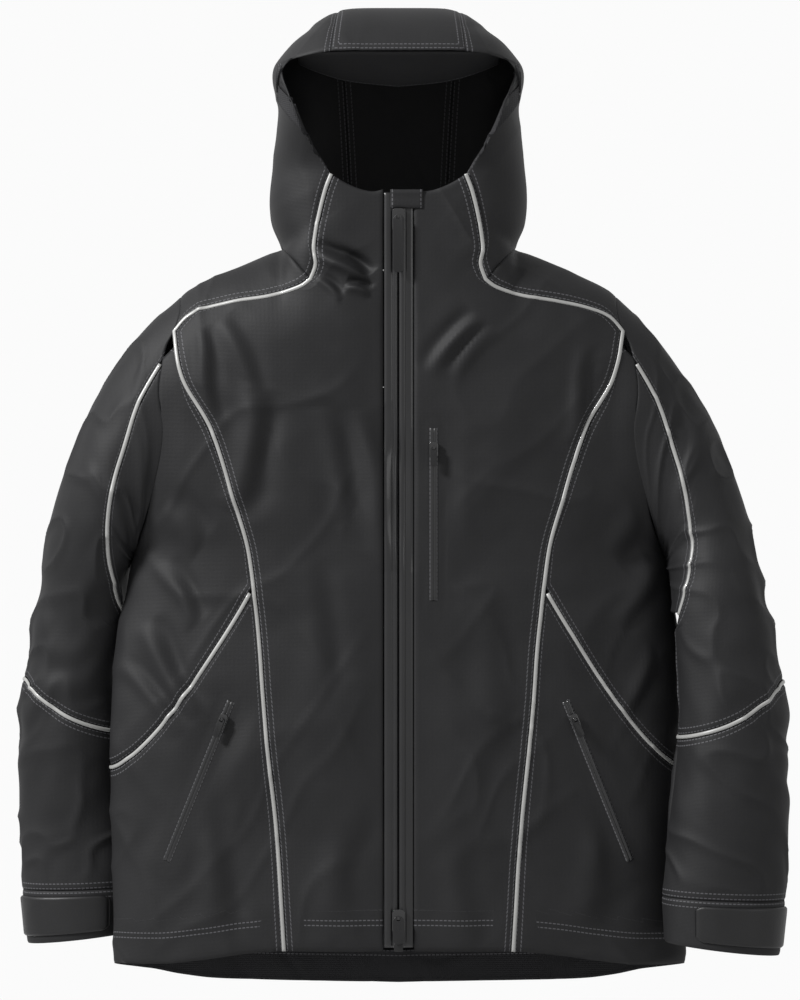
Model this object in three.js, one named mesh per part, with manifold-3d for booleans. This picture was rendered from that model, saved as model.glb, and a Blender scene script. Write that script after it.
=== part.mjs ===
// A three-layer hardshell jacket with a fixed hood, hanging by its neck loop.
// Millimetres. +Z is up, the front faces -Y and +X is the wearer's left.
// The jacket is drawn as a base-size pattern, in the plane of the front, and graded to the sizes
// below. A front and a back depth at every point of that plane give it its body.

import * as THREE from 'three';
import * as BufferGeometryUtils from 'three/addons/utils/BufferGeometryUtils.js';
import Module from 'manifold-3d';

const wasm = await Module();
wasm.setup();

// ---------------------------------------------------------------- driving sizes

const HEM_WIDTH = 571; // across the hem, laid flat
const BACK_LENGTH = 726; // neck to the lowest point of the dropped back hem
const SLEEVE_LENGTH = 388; // underarm to the end of the cuff
const HOOD_WIDTH = 256;
const HOOD_HEIGHT = 253; // neck to the crown
const COLLAR_DEPTH = 78; // how far the front stands forward of the shoulder line, at the collar
const HEM_DEPTH = 60; // and at the hem
const BACK_DEPTH = 64; // how far the back stands behind the shoulder line, at the shoulder blades
const VISOR_REACH = 118; // how far the hood would reach forward at brow height
const HOOD_BACK = 82; // how far the hood stands behind the shoulder line
const SLEEVE_HALF_DEPTH = 52;

const SHELL = 1.2; // thickness of a panel with its seam allowance
const LINING = 1; // thickness of an inner piece
const SEAM_GAP = 0.8; // between two panels at a plain seam
const CLEARANCE = 0.4; // between pieces that lie on each other
const PIPING_WIDTH = 3.6;
const PIPING_PROUD = 0.9;
const PIPING_ROOM = 1.3; // on each side of the piping, between the panels that it joins

const PLACKET = 15; // zip centre to the edge of the front panel
const TAPE_GAP = 1.1; // between the two tapes of the front zip
const FRONT_SLIDER = { width: 12.5, length: 23, height: 3.4 };
const FRONT_PULL = { width: 11, length: 56, thickness: 2.6 };
const BOTTOM_PULL = { width: 11, length: 27, thickness: 2.6 };
const POCKET_SLIDER = { width: 8.5, length: 15, height: 2.6 };
const POCKET_PULL = { width: 6.4, length: 20, thickness: 2 };
const TOP_SLIDER_BELOW_COLLAR = 19; // collar edge to the upper end of the top slider
const BOTTOM_SLIDER_ABOVE_HEM = 42; // hem to the upper end of the bottom slider

const POCKET_ZIP_WIDTH = 9.5;
const POCKET_ZIP_THICKNESS = 1;
const CHEST_ZIP = { across: 34.5, top: -167, length: 170 };
const HAND_ZIP = { across: 165, top: -436, slope: 0.405, length: 172 };

const CUFF_TAB_THICKNESS = 2.2;
const HEM_FACING = 33; // height of the turned-up facing inside the hem
const RIM_FACING = 0.12; // share of the hood side that the rim facing covers
const LOOP = { span: 56, bow: 15, webbing: 10, thickness: 1.4, below_neck: 16 };

// The base size that the pattern points are written in.
const BASE = { hem: 571, back: 726, sleeve: 388, hood_width: 256, hood_height: 253 };
const PIT = -288; // height of the underarm on the base pattern
const SHOULDER_TIP = -35; // and of the top of the armhole

// ---------------------------------------------------------------- grading

const GIRTH = HEM_WIDTH / BASE.hem;
const LENGTH = BACK_LENGTH / BASE.back;
const ARM = SLEEVE_LENGTH / BASE.sleeve;
const HOOD_GIRTH = HOOD_WIDTH / BASE.hood_width;
const HOOD_RISE = HOOD_HEIGHT / BASE.hood_height;

const gradeHeight = (z) => z * (z < 0 ? LENGTH : HOOD_RISE);
const COLLAR = 60; // the body's width grading gives way to the hood's up to this height
const girthAt = (z) => THREE.MathUtils.lerp(GIRTH, HOOD_GIRTH, THREE.MathUtils.smoothstep(z, 0, COLLAR));
const gradeWidth = (x, z) => x * girthAt(z);
const pattern = ([x, z]) => new THREE.Vector2(gradeWidth(x, z), gradeHeight(z));

// A smooth value along one coordinate: cubic pieces through the knots, with the slope at each
// knot taken from its neighbours.
function profile(knots) {
  const rows = [...knots].sort((a, b) => a[0] - b[0]);
  const slope = (i) => {
    const a = rows[Math.max(i - 1, 0)];
    const b = rows[Math.min(i + 1, rows.length - 1)];
    return (b[1] - a[1]) / (b[0] - a[0]);
  };
  return (at) => {
    const x = THREE.MathUtils.clamp(at, rows[0][0], rows[rows.length - 1][0]);
    let i = 0;
    while (i < rows.length - 2 && x > rows[i + 1][0]) i += 1;
    const span = rows[i + 1][0] - rows[i][0];
    const t = (x - rows[i][0]) / span;
    const start = (1 + 2 * t) * (1 - t) * (1 - t) * rows[i][1] + t * (1 - t) * (1 - t) * span * slope(i);
    const end = t * t * (3 - 2 * t) * rows[i + 1][1] - t * t * (1 - t) * span * slope(i + 1);
    return start + end;
  };
}

const widthProfile = (knots) => profile(knots.map(([z, x]) => [gradeHeight(z), gradeWidth(x, z)]));
const depthProfile = (knots, scale) => profile(knots.map(([z, d]) => [gradeHeight(z), d * scale]));

// ---------------------------------------------------------------- the body's shape

// Half the body's width. Above the underarm it runs on into the sleeve, so that the front is
// still well forward of the back where the armhole cuts it off.
const bodyHalf = widthProfile([
  [90, 330], [-50, 330], [-120, 327], [-170, 318], [-210, 303], [-240, 287], [-262, 274], [PIT, 262],
  [-331, 272.5], [-381, 281], [-425, 284.5], [-478, 285.5], [-760, 285.5],
]);

const hoodHalf = widthProfile([
  [-60, 112], [-22, 114], [12, 117], [37, 125.5], [65, 128], [97, 125], [130, 121.5], [152, 119.5],
  [165, 122], [180, 125], [192, 124], [203, 117], [217, 105], [228, 91], [235, 84], [242, 74], [249, 61],
  [253, 48],
]);

const armholeHalf = widthProfile([
  [-35, 217.5], [-50, 217], [-70, 222], [-86, 230], [-111, 235], [-135, 236.5], [-164, 232],
  [-191, 234], [-218, 240], [-254, 250], [PIT, 262],
]);

// The shoulder line: height of the ridge between front and back at each distance from the middle.
const shoulderLine = profile([[0, 82], [60, 46], [117, 12], [128.5, 8], [156.5, -4], [188, -17.5], [209, -28],
  [217.5, -35], [238, -52], [255, -71], [276.5, -94], [300, -125], [340, -200]]
  .map(([x, z]) => [x * GIRTH, gradeHeight(z)]));

const SHOULDER_ROUND = gradeHeight(-95); // the front and back reach full depth this far below the ridge
const BODY_POWER = 2.6; // how square the body's cross-section is
const HOOD_POWER = 5;
const CROWN = gradeHeight(BASE.hood_height);
const BROW = gradeHeight(150); // the hood starts to close towards the crown here
const NAPE = gradeHeight(130);

const hemHeight = profile([[0, -683], [23, -683], [33, -687], [42, -692.5], [55, -698], [90, -701],
  [119, -709], [130, -716], [139, -720.5], [153, -723], [180, -726]].map(([a, z]) => [a, gradeHeight(z)]));

const FRONT_SLOPE = (COLLAR_DEPTH - HEM_DEPTH) / (gradeHeight(70) - gradeHeight(-683));
const frontLine = (z) => COLLAR_DEPTH + (z - gradeHeight(70)) * FRONT_SLOPE;
const dome = (z, from) => Math.sqrt(Math.max(1 - Math.max((z - from) / (CROWN - from), 0) ** 2, 0));

function frontDepth(z) {
  const brow = THREE.MathUtils.smoothstep(z, gradeHeight(84), BROW);
  return THREE.MathUtils.lerp(frontLine(z), VISOR_REACH, brow) * dome(z, BROW);
}

const bodyBackDepth = depthProfile(
  [[60, 66], [0, 62], [-100, 66], [PIT, 62], [-450, 53], [-683, 50], [-760, 50]], BACK_DEPTH / 64);

function backDepth(z) {
  const nape = THREE.MathUtils.smoothstep(z, 0, NAPE);
  return THREE.MathUtils.lerp(bodyBackDepth(z), HOOD_BACK, nape) * dome(z, NAPE);
}

// How much of the full depth a point has: 1 in the middle, 0 on the outline. The body and the
// hood each have their own share, and the larger one leads.
function depthShare(x, z) {
  const round = THREE.MathUtils.clamp((shoulderLine(Math.abs(x)) - z) / -SHOULDER_ROUND, 0, 1);
  const body = Math.sqrt(Math.max(1 - Math.abs(x / bodyHalf(z)) ** BODY_POWER, 0) * (1 - (1 - round) ** 2));
  const fade = THREE.MathUtils.smoothstep(z, gradeHeight(-60), gradeHeight(12));
  const hood = Math.sqrt(Math.max(1 - Math.abs(x / hoodHalf(z)) ** HOOD_POWER, 0)) * fade;
  return 1 - (1 - body) * (1 - hood);
}

const radians = THREE.MathUtils.degToRad;

// A point on the body (or the hood) from the angle round it, 0 in the middle of the front, 90 at
// the wearer's left side and 180 in the middle of the back, and the height.
function around(half) {
  return ({ x: angle, y: z }) => {
    const x = half(z) * Math.sin(radians(angle));
    const turned = Math.abs(angle) % 360;
    const front = turned < 90 || turned > 270;
    const onOutline = turned === 90 || turned === 270;
    const depth = onOutline ? 0 : depthShare(x, z) * (front ? -frontDepth(z) : backDepth(z));
    return new THREE.Vector3(x, depth, z);
  };
}

const onBody = around(bodyHalf);
const onHood = around(hoodHalf);

// The angle of a pattern point, on the front or on the back.
const angleOf = (half, point, back) => {
  const angle = THREE.MathUtils.radToDeg(Math.asin(THREE.MathUtils.clamp(point.x / half(point.y), -1, 1)));
  return new THREE.Vector2(back ? 180 - angle : angle, point.y);
};
const bodyAngle = (point, back = false) => angleOf(bodyHalf, point, back);
const hoodAngle = (point, back = false) => angleOf(hoodHalf, point, back);

// ---------------------------------------------------------------- seams, in the plane of the front

const line = (points, parts) => new THREE.SplineCurve(points.map(pattern)).getSpacedPoints(parts);
const join = (...runs) => runs.flatMap((run, i) => (i ? run.slice(1) : run));

const NECK_PARTS = 5;
const YOKE_PARTS = 6;
const PRINCESS_UPPER_PARTS = 9;
const PRINCESS_LOWER_PARTS = 7;

const neckEdge = line([[66, 82], [72, 66], [78, 42], [83, 12], [81, -6], [86, -21]], NECK_PARTS);
const yokeEdge = line([[86, -21], [98, -29], [126, -37], [156, -42], [188, -49], [209, -57], [222, -71]],
  YOKE_PARTS);
const princessUpper = line([[222, -71], [212, -119], [184, -169], [160, -244], [149, -283], [143, -324]],
  PRINCESS_UPPER_PARTS);
const princessLower = line([[143, -324], [137, -385], [134, -425], [129, -480], [120, -570], [113, -683]],
  PRINCESS_LOWER_PARTS);
const frontEdge = join(neckEdge, yokeEdge, princessUpper, princessLower);
const collarTop = line([[PLACKET, 67], [25, 65], [38, 67.5], [52, 73.5], [66, 82]], 5);

const shoulderEdge = line([[117, 12], [156.5, -4], [188, -17.5], [217.5, -35]], YOKE_PARTS);

const armholePoint = (z) => new THREE.Vector2(armholeHalf(z), z);
const heights = (from, to, parts) => Array.from({ length: parts + 1 },
  (_, i) => THREE.MathUtils.lerp(gradeHeight(from), gradeHeight(to), i / parts));
const armholeFront = heights(-98, PIT, 5).map(armholePoint);
const BACK_YOKE = -112; // where the back yoke meets the armhole
const armholeBackYoke = heights(-35, BACK_YOKE, 3).map(armholePoint);
const armholeBack = heights(BACK_YOKE, PIT, 5).map(armholePoint);

const sidePoint = (z) => new THREE.Vector2(90, z);
const SIDE_SEAM_END = hemHeight(90) / LENGTH;
const sideUpper = heights(PIT, -505, 4).map(sidePoint);
const sideLower = heights(-505, SIDE_SEAM_END, PRINCESS_LOWER_PARTS).map(sidePoint);

// The piped seam across the side panel: it drops steeply from the princess seam, then runs out
// level to the side seam.
const SIDE_PARTS = 8;
const DIAGONAL_FALL = 2.8;
const closerAtFirst = (t) => t ** 1.7;
const diagonalStart = bodyAngle(princessLower[0]);
const diagonal = Array.from({ length: SIDE_PARTS + 1 }, (_, i) => {
  const t = closerAtFirst(i / SIDE_PARTS);
  const z = THREE.MathUtils.lerp(diagonalStart.y, sideUpper[4].y, 1 - (1 - t) ** DIAGONAL_FALL);
  return new THREE.Vector2(THREE.MathUtils.lerp(diagonalStart.x, 90, t), z);
});

// ---------------------------------------------------------------- panels

// Fills the space between four edges that share their corners. The rows run from left to right,
// and spacing says how far across each column stands.
function fill(left, right, top, bottom, spacing = (t) => t) {
  const rows = left.length - 1;
  const columns = top.length - 1;
  return left.map((start, i) => top.map((upper, j) => {
    const v = i / rows;
    const u = spacing(j / columns);
    const across = start.clone().lerp(right[i], u);
    const down = upper.clone().lerp(bottom[j], v);
    const corners = left[0].clone().lerp(right[0], u).lerp(left[rows].clone().lerp(right[rows], u), v);
    return across.add(down).sub(corners);
  }));
}

const straight = (from, to, parts) => Array.from({ length: parts + 1 },
  (_, i) => from.clone().lerp(to, i / parts));
const within = (k, count) => THREE.MathUtils.clamp(k, 0, count - 1);
const at = (grid, i, j) => grid[within(i, grid.length)][within(j, grid[0].length)];

// Outward unit normals of a grid of points. core gives the middle of the hollow behind a point.
// On the ridge between front and back the normal has no part along Y.
function gridNormals(grid, core) {
  const normals = grid.map((row, i) => row.map((point, j) => {
    const along = at(grid, i + 1, j).clone().sub(at(grid, i - 1, j));
    const across = at(grid, i, j + 1).clone().sub(at(grid, i, j - 1));
    const normal = along.cross(across);
    if (core.ridge && Math.abs(point.y) < 0.01) normal.y = 0;
    return normal.normalize();
  }));
  const facing = grid.flatMap((row, i) => row.map(
    (point, j) => normals[i][j].dot(point.clone().sub(core.middle(point)))));
  const outward = Math.sign(facing.reduce((sum, value) => sum + value, 0));
  return normals.map((row) => row.map((normal) => normal.multiplyScalar(outward)));
}

const SHARPEST_CORNER = 0.2; // squared sine below which a corner is no longer drawn in further

// The share of a run of points' length at each of them.
function lengthShares(points) {
  const reached = [0];
  for (let i = 1; i < points.length; i += 1) reached.push(reached[i - 1] + points[i].distanceTo(points[i - 1]));
  return reached.map((length) => length / (reached[reached.length - 1] || 1));
}

// Draws each edge of a grid in from its seam, square to the seam, and eases the rest to follow.
const PLAIN = SEAM_GAP / 2;
function drawIn(grid, { left = PLAIN, right = PLAIN, top = PLAIN, bottom = PLAIN }) {
  const rows = grid.length - 1;
  const columns = grid[0].length - 1;
  const inward = (i, j, di, dj) => {
    const seam = at(grid, i + dj, j + di).clone().sub(at(grid, i - dj, j - di)).normalize();
    const direction = grid[i + di][j + dj].clone().sub(grid[i][j]);
    return { seam, direction: direction.addScaledVector(seam, -direction.dot(seam)).normalize() };
  };
  // At a corner the point keeps its distance from both seams.
  const cornerMove = (i, j, di, dj, across, down) => {
    const first = inward(i, j, 0, dj).direction;
    const second = inward(i, j, di, 0).direction;
    const slant = first.dot(second);
    const square = Math.max(1 - slant * slant, SHARPEST_CORNER);
    return new THREE.Vector3().addScaledVector(first, (across - down * slant) / square)
      .addScaledVector(second, (down - across * slant) / square);
  };
  const corners = [
    [cornerMove(0, 0, 1, 1, left, top), cornerMove(0, columns, 1, -1, right, top)],
    [cornerMove(rows, 0, -1, 1, left, bottom), cornerMove(rows, columns, -1, -1, right, bottom)],
  ];
  const edgeMove = ({ seam, direction }, distance, from, to, share) => {
    const slide = from.clone().lerp(to, share).dot(seam);
    return direction.clone().multiplyScalar(distance).addScaledVector(seam, slide);
  };
  const edgeMoves = (count, towards, distance, [first, last], points) => {
    const shares = lengthShares(points);
    return points.map((_, k) => {
      if (k === 0) return first;
      if (k === count) return last;
      return edgeMove(towards(k), distance, first, last, shares[k]);
    });
  };
  const column = (j) => grid.map((row) => row[j]);
  const ends = (side) => [corners[0][side], corners[1][side]];
  const moves = {
    top: edgeMoves(columns, (j) => inward(0, j, 1, 0), top, corners[0], grid[0]),
    bottom: edgeMoves(columns, (j) => inward(rows, j, -1, 0), bottom, corners[1], grid[rows]),
    left: edgeMoves(rows, (i) => inward(i, 0, 0, 1), left, ends(0), column(0)),
    right: edgeMoves(rows, (i) => inward(i, columns, 0, -1), right, ends(1), column(columns)),
  };
  const across = grid.map(lengthShares);
  const down = grid[0].map((_, j) => lengthShares(column(j)));
  return grid.map((row, i) => row.map((point, j) => {
    if (i === 0) return point.clone().add(moves.top[j]);
    if (i === rows) return point.clone().add(moves.bottom[j]);
    if (j === 0) return point.clone().add(moves.left[i]);
    if (j === columns) return point.clone().add(moves.right[i]);
    const sideways = moves.left[i].clone().lerp(moves.right[i], across[i][j]);
    const upright = moves.top[j].clone().lerp(moves.bottom[j], down[j][i]);
    const shared = corners[0][0].clone().lerp(corners[0][1], across[i][j])
      .lerp(corners[1][0].clone().lerp(corners[1][1], across[i][j]), down[j][i]);
    return point.clone().add(sideways).add(upright).sub(shared);
  }));
}

// A closed sheet between two copies of a grid, at two distances along its normals.
function sheet(grid, normals, outer, inner) {
  const rows = grid.length;
  const columns = grid[0].length;
  const positions = [outer, inner].flatMap((distance) => grid.flatMap((row, i) => row.flatMap(
    (point, j) => point.clone().addScaledVector(normals[i][j], distance).toArray())));
  const index = (layer, i, j) => layer * rows * columns + i * columns + j;
  const [foot, right] = [rows - 1, columns - 1];
  const faces = [];
  const quad = (a, b, c, d) => faces.push(a, b, c, a, c, d);
  for (let i = 0; i < rows - 1; i += 1) {
    for (let j = 0; j < columns - 1; j += 1) {
      quad(index(0, i, j), index(0, i + 1, j), index(0, i + 1, j + 1), index(0, i, j + 1));
      quad(index(1, i, j), index(1, i, j + 1), index(1, i + 1, j + 1), index(1, i + 1, j));
    }
    quad(index(0, i + 1, 0), index(0, i, 0), index(1, i, 0), index(1, i + 1, 0));
    quad(index(0, i, right), index(0, i + 1, right), index(1, i + 1, right), index(1, i, right));
  }
  for (let j = 0; j < columns - 1; j += 1) {
    quad(index(0, 0, j), index(0, 0, j + 1), index(1, 0, j + 1), index(1, 0, j));
    quad(index(0, foot, j + 1), index(0, foot, j), index(1, foot, j), index(1, foot, j + 1));
  }
  const geometry = new THREE.BufferGeometry();
  geometry.setAttribute('position', new THREE.Float32BufferAttribute(positions, 3));
  geometry.setIndex(faces);
  return pointOutward(geometry);
}

// Turns every face round when the enclosed volume comes out negative.
function pointOutward(geometry) {
  const position = geometry.getAttribute('position');
  const index = geometry.getIndex();
  const corner = (k) => new THREE.Vector3().fromBufferAttribute(position, index.getX(k));
  let volume = 0;
  for (let k = 0; k < index.count; k += 3) volume += corner(k).dot(corner(k + 1).cross(corner(k + 2)));
  if (volume < 0) {
    const turned = [];
    for (let k = 0; k < index.count; k += 3) turned.push(index.getX(k), index.getX(k + 2), index.getX(k + 1));
    geometry.setIndex(turned);
  }
  return geometry;
}

const mirrorPoint = (point) => new THREE.Vector3(-point.x, point.y, point.z);
const mirrorGrid = (grid) => grid.map((row) => row.map(mirrorPoint));

const torsoCore = { ridge: true, middle: (point) => new THREE.Vector3(point.x * 0.6, 0, point.z) };

// One cloth piece: the grid is drawn in from its seams and given its two faces.
function clothPiece(grid, core, edges = {}, outer = 0, inner = -SHELL) {
  const normals = gridNormals(grid, core);
  return sheet(drawIn(grid, edges), normals, outer, inner);
}

// A narrow strip centred on a seam, lying between the two panels that it joins.
function seamStrip(points, normals, width, outer, inner) {
  const sides = points.map((point, i) => {
    const next = points[Math.min(i + 1, points.length - 1)];
    const along = next.clone().sub(points[Math.max(i - 1, 0)]).normalize();
    const across = along.cross(normals[i]).normalize().multiplyScalar(width / 2);
    return [point.clone().sub(across), point.clone(), point.clone().add(across)];
  });
  return sheet(sides, sides.map((row, i) => row.map(() => normals[i])), outer, inner);
}

// Normals of the surface along a run of points on it.
function surfaceNormals(surface, chart) {
  const STEP = 0.4;
  return chart.map((place) => {
    const beside = (dx, dy) => surface(new THREE.Vector2(place.x + dx, place.y + dy));
    const across = beside(STEP, 0).sub(beside(-STEP, 0));
    const up = beside(0, STEP).sub(beside(0, -STEP));
    return across.cross(up).normalize();
  });
}

const PIPED = PIPING_WIDTH / 2 + PIPING_ROOM;
const jacket = new THREE.Group();

const FINISHES = {
  shell: { color: 0x2f2f30, roughness: 0.85, metalness: 0 },
  lining: { color: 0x242425, roughness: 0.9, metalness: 0 },
  piping: { color: 0xb9b9b7, roughness: 0.45, metalness: 0 },
  tape: { color: 0x3a3a3b, roughness: 0.5, metalness: 0 },
  slider: { color: 0x0d0d0e, roughness: 0.35, metalness: 0.3 },
  webbing: { color: 0x1b1b1c, roughness: 0.9, metalness: 0 },
};

function add(name, geometry, finish, parent = jacket) {
  const mesh = new THREE.Mesh(geometry, new THREE.MeshStandardMaterial(FINISHES[finish]));
  mesh.name = name;
  parent.add(mesh);
  return mesh;
}

const SIDES = [['left', 1], ['right', -1]];
const sided = (grid, side) => (side > 0 ? grid : mirrorGrid(grid));
const place = (surface, chartGrid) => chartGrid.map((row) => row.map(surface));

// ---------------------------------------------------------------- body panels

const FRONT_COLUMNS = 5;
const placketHeights = [
  ...heights(67, 4, NECK_PARTS),
  ...heights(4, -62, YOKE_PARTS).slice(1),
  ...heights(-62, -324, PRINCESS_UPPER_PARTS).slice(1),
  ...heights(-324, -683, PRINCESS_LOWER_PARTS).slice(1),
];

function frontPanelGrid() {
  const left = placketHeights.map((z) => bodyAngle(new THREE.Vector2(PLACKET, z)));
  const right = frontEdge.map((point) => bodyAngle(point));
  const top = collarTop.map((point) => bodyAngle(point));
  top[0] = left[0].clone();
  const bottom = straight(left[left.length - 1], right[right.length - 1], FRONT_COLUMNS);
  return fill(left, right, top, bottom);
}

function frontYokeGrid() {
  const bottom = yokeEdge.map((point) => bodyAngle(point));
  const top = shoulderEdge.map((point) => bodyAngle(point));
  const ROWS = 5;
  return Array.from({ length: ROWS + 1 }, (_, i) => {
    const rise = 1 - (1 - i / ROWS) ** 2;
    const row = bottom.map((point, j) => point.clone().lerp(top[j], rise));
    row[YOKE_PARTS] = bodyAngle(armholePoint(row[YOKE_PARTS].y));
    return row;
  });
}

// The side panel's tip between the princess seam and the armhole is cut off square.
const SIDE_TIP = 0.5;
const sideTip = bodyAngle(princessUpper[0].clone().lerp(princessUpper[1], SIDE_TIP));
const sideTop = diagonal.map((_, i) => sideTip.clone()
  .lerp(bodyAngle(armholeFront[0]), closerAtFirst(i / SIDE_PARTS)));

function sideUpperGrid() {
  const left = [sideTip, ...princessUpper.slice(1).map((point) => bodyAngle(point))];
  const right = join(armholeFront.map((point) => bodyAngle(point)), sideUpper);
  right[armholeFront.length - 1] = new THREE.Vector2(90, right[armholeFront.length - 1].y);
  return fill(left, right, sideTop, diagonal, closerAtFirst);
}

function sideLowerGrid() {
  const left = princessLower.map((point) => bodyAngle(point));
  const end = left[left.length - 1];
  const bottom = Array.from({ length: SIDE_PARTS + 1 }, (_, i) => {
    const angle = THREE.MathUtils.lerp(end.x, 90, closerAtFirst(i / SIDE_PARTS));
    return new THREE.Vector2(angle, hemHeight(angle));
  });
  return fill(left, sideLower, diagonal, bottom, closerAtFirst);
}

// Half of the back neck seam, from the middle to the neck point, shared by the hood and the yoke.
const BACK_NECK_PARTS = 4;
const CENTRE_HALF = 45; // half the width of the hood's centre panel at the neck
const backNeck = line([[0, -5], [45, -4], [90, 2], [117, 12]], BACK_NECK_PARTS * 2);
const backNeckSplit = backNeck.findIndex((point) => point.x > gradeWidth(CENTRE_HALF, 0) * 0.95);

const backYokeSeamHeight = profile([[0, -124], [120, -120], [234, BACK_YOKE]]
  .map(([x, z]) => [x * GIRTH, gradeHeight(z)]));

const otherSide = (point) => new THREE.Vector2(360 - point.x, point.y);

function backYokeGrid() {
  const half = join(backNeck, shoulderEdge);
  const top = half.map((point) => bodyAngle(point, true));
  const end = armholeBackYoke[armholeBackYoke.length - 1];
  const bottom = top.map((_, j) => {
    const x = THREE.MathUtils.lerp(0, end.x, j / (top.length - 1));
    return bodyAngle(new THREE.Vector2(x, backYokeSeamHeight(x)), true);
  });
  const ROWS = 6;
  const right = Array.from({ length: ROWS + 1 }, (_, i) => {
    const fall = (i / ROWS) ** 2;
    const z = THREE.MathUtils.lerp(armholeBackYoke[0].y, end.y, fall);
    return bodyAngle(armholePoint(z), true);
  });
  const wearersLeft = Array.from({ length: ROWS + 1 }, (_, i) => {
    const fall = (i / ROWS) ** 2;
    return top.map((point, j) => (j === top.length - 1 ? right[i] : point.clone().lerp(bottom[j], fall)));
  });
  return wearersLeft.map((row) => [...row].reverse().concat(row.slice(1).map(otherSide)));
}

function backPanelGrid() {
  const COLUMNS = 8;
  const edge = join(armholeBack.map((point) => bodyAngle(point, true)), sideUpper, sideLower);
  edge[armholeBack.length - 1] = new THREE.Vector2(90, edge[armholeBack.length - 1].y);
  const rows = edge.length - 1;
  const corner = bodyAngle(armholeBack[0], true);
  const top = Array.from({ length: COLUMNS + 1 }, (_, j) => {
    const x = THREE.MathUtils.lerp(armholeBack[0].x, 0, j / COLUMNS);
    return bodyAngle(new THREE.Vector2(x, backYokeSeamHeight(x)), true);
  });
  top[0] = corner;
  const bottom = top.map((_, j) => {
    const angle = THREE.MathUtils.lerp(90, 180, j / COLUMNS);
    return new THREE.Vector2(angle, hemHeight(angle));
  });
  const middle = edge.map((point, i) => {
    const share = (edge[0].y - point.y) / (edge[0].y - edge[rows].y);
    return new THREE.Vector2(180, THREE.MathUtils.lerp(top[COLUMNS].y, bottom[COLUMNS].y, share));
  });
  const half = fill(edge, middle, top, bottom);
  return half.map((row) => row.concat([...row].reverse().slice(1).map(otherSide)));
}

const frontPanel = place(onBody, frontPanelGrid());
const frontYoke = place(onBody, frontYokeGrid());
const sideUpperPanel = place(onBody, sideUpperGrid());
const sideLowerPanel = place(onBody, sideLowerGrid());

for (const [side, sign] of SIDES) {
  add(`front_panel_${side}`, clothPiece(sided(frontPanel, sign), torsoCore, { right: PIPED }), 'shell');
  add(`front_yoke_${side}`, clothPiece(sided(frontYoke, sign), torsoCore, { top: PIPED }), 'shell');
  add(`side_upper_${side}`, clothPiece(sided(sideUpperPanel, sign), torsoCore,
    { left: PIPED, bottom: PIPED }), 'shell');
  add(`side_lower_${side}`, clothPiece(sided(sideLowerPanel, sign), torsoCore,
    { left: PIPED, top: PIPED }), 'shell');
}
add('back_yoke', clothPiece(place(onBody, backYokeGrid()), torsoCore), 'shell');
add('back_panel', clothPiece(place(onBody, backPanelGrid()), torsoCore), 'shell');

// ---------------------------------------------------------------- hood

const CENTRE_FRONT_ROWS = 4;
const CENTRE_BACK_ROWS = 9;
const CENTRE_COLUMNS = 6;
const BRIM_EDGE = gradeHeight(201);
const centreHalfFront = widthProfile([[201, 65.5], [225, 63], [249, 60]]);
const centreHalfBack = widthProfile([[249, 60], [200, 56], [100, 50], [-5, CENTRE_HALF]]);
const RIDGE_END = gradeHeight(249.2);

// The height of the crown's ridge across the centre panel: flat, then falling to the side panel.
const ridgeHeight = (share) => THREE.MathUtils.lerp(
  CROWN - 0.05, RIDGE_END, THREE.MathUtils.smoothstep(Math.abs(share), 0.72, 1));

function centrePanelGrid() {
  const half = gradeWidth(CENTRE_HALF, 0);
  const nape = profile([[0, backNeck[0].y], [half, backNeck[backNeckSplit].y]]);
  const grid = [];
  for (let i = -CENTRE_FRONT_ROWS; i <= CENTRE_BACK_ROWS; i += 1) {
    const back = i > 0;
    const t = back ? i / CENTRE_BACK_ROWS : -i / CENTRE_FRONT_ROWS;
    grid.push(Array.from({ length: CENTRE_COLUMNS + 1 }, (_, j) => {
      const share = (2 * j) / CENTRE_COLUMNS - 1;
      const low = back ? nape(Math.abs(share) * half) : BRIM_EDGE;
      const ridge = ridgeHeight(share);
      const z = ridge - (ridge - low) * t * t;
      const seamAt = back ? centreHalfBack(z) : centreHalfFront(z);
      const wide = i === 0 ? Math.min(seamAt, hoodHalf(z)) : seamAt;
      const depth = i === 0 ? 0 : depthShare(share * wide, z) * (back ? backDepth(z) : -frontDepth(z));
      return new THREE.Vector3(share * wide, depth, z);
    }));
  }
  return grid;
}

const centrePanel = centrePanelGrid();
const hoodCore = { ridge: true, middle: (point) => new THREE.Vector3(point.x * 0.3, 0, gradeHeight(120)) };

// The hood's side: rows run from the centre seam to the face rim and on down the neck.
const HOOD_COLUMNS = 8;
const NECK_GAP = 1.4; // the hood's neck edge stands this far above the yokes
const RIM_PARTS = CENTRE_FRONT_ROWS + CENTRE_BACK_ROWS - NECK_PARTS;
const rimEdge = line([[118, 191], [117.5, 172], [115, 152], [105, 136], [93, 123], [84, 107], [74, 94],
  [66, 82]], RIM_PARTS);

function hoodSideChart() {
  const seam = centrePanel.map((row, i) => {
    const point = row[CENTRE_COLUMNS];
    if (i === CENTRE_FRONT_ROWS) return new THREE.Vector2(90, point.z);
    return hoodAngle(new THREE.Vector2(point.x, point.z), i > CENTRE_FRONT_ROWS);
  });
  const rim = join(rimEdge, neckEdge).map((point) => hoodAngle(point));
  const brim = straight(seam[0], rim[0], HOOD_COLUMNS);
  const last = seam.length - 1;
  const neckHeight = profile([[rim[last].x, rim[last].y], [60, gradeHeight(-5)], [75, gradeHeight(7.5)],
    [90, gradeHeight(12)], [130, gradeHeight(2)], [seam[last].x, seam[last].y]]);
  const neck = Array.from({ length: HOOD_COLUMNS + 1 }, (_, j) => {
    const angle = THREE.MathUtils.lerp(seam[last].x, rim[last].x, j / HOOD_COLUMNS);
    return new THREE.Vector2(angle, neckHeight(angle));
  });
  return fill(seam, rim, brim, neck);
}

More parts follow.
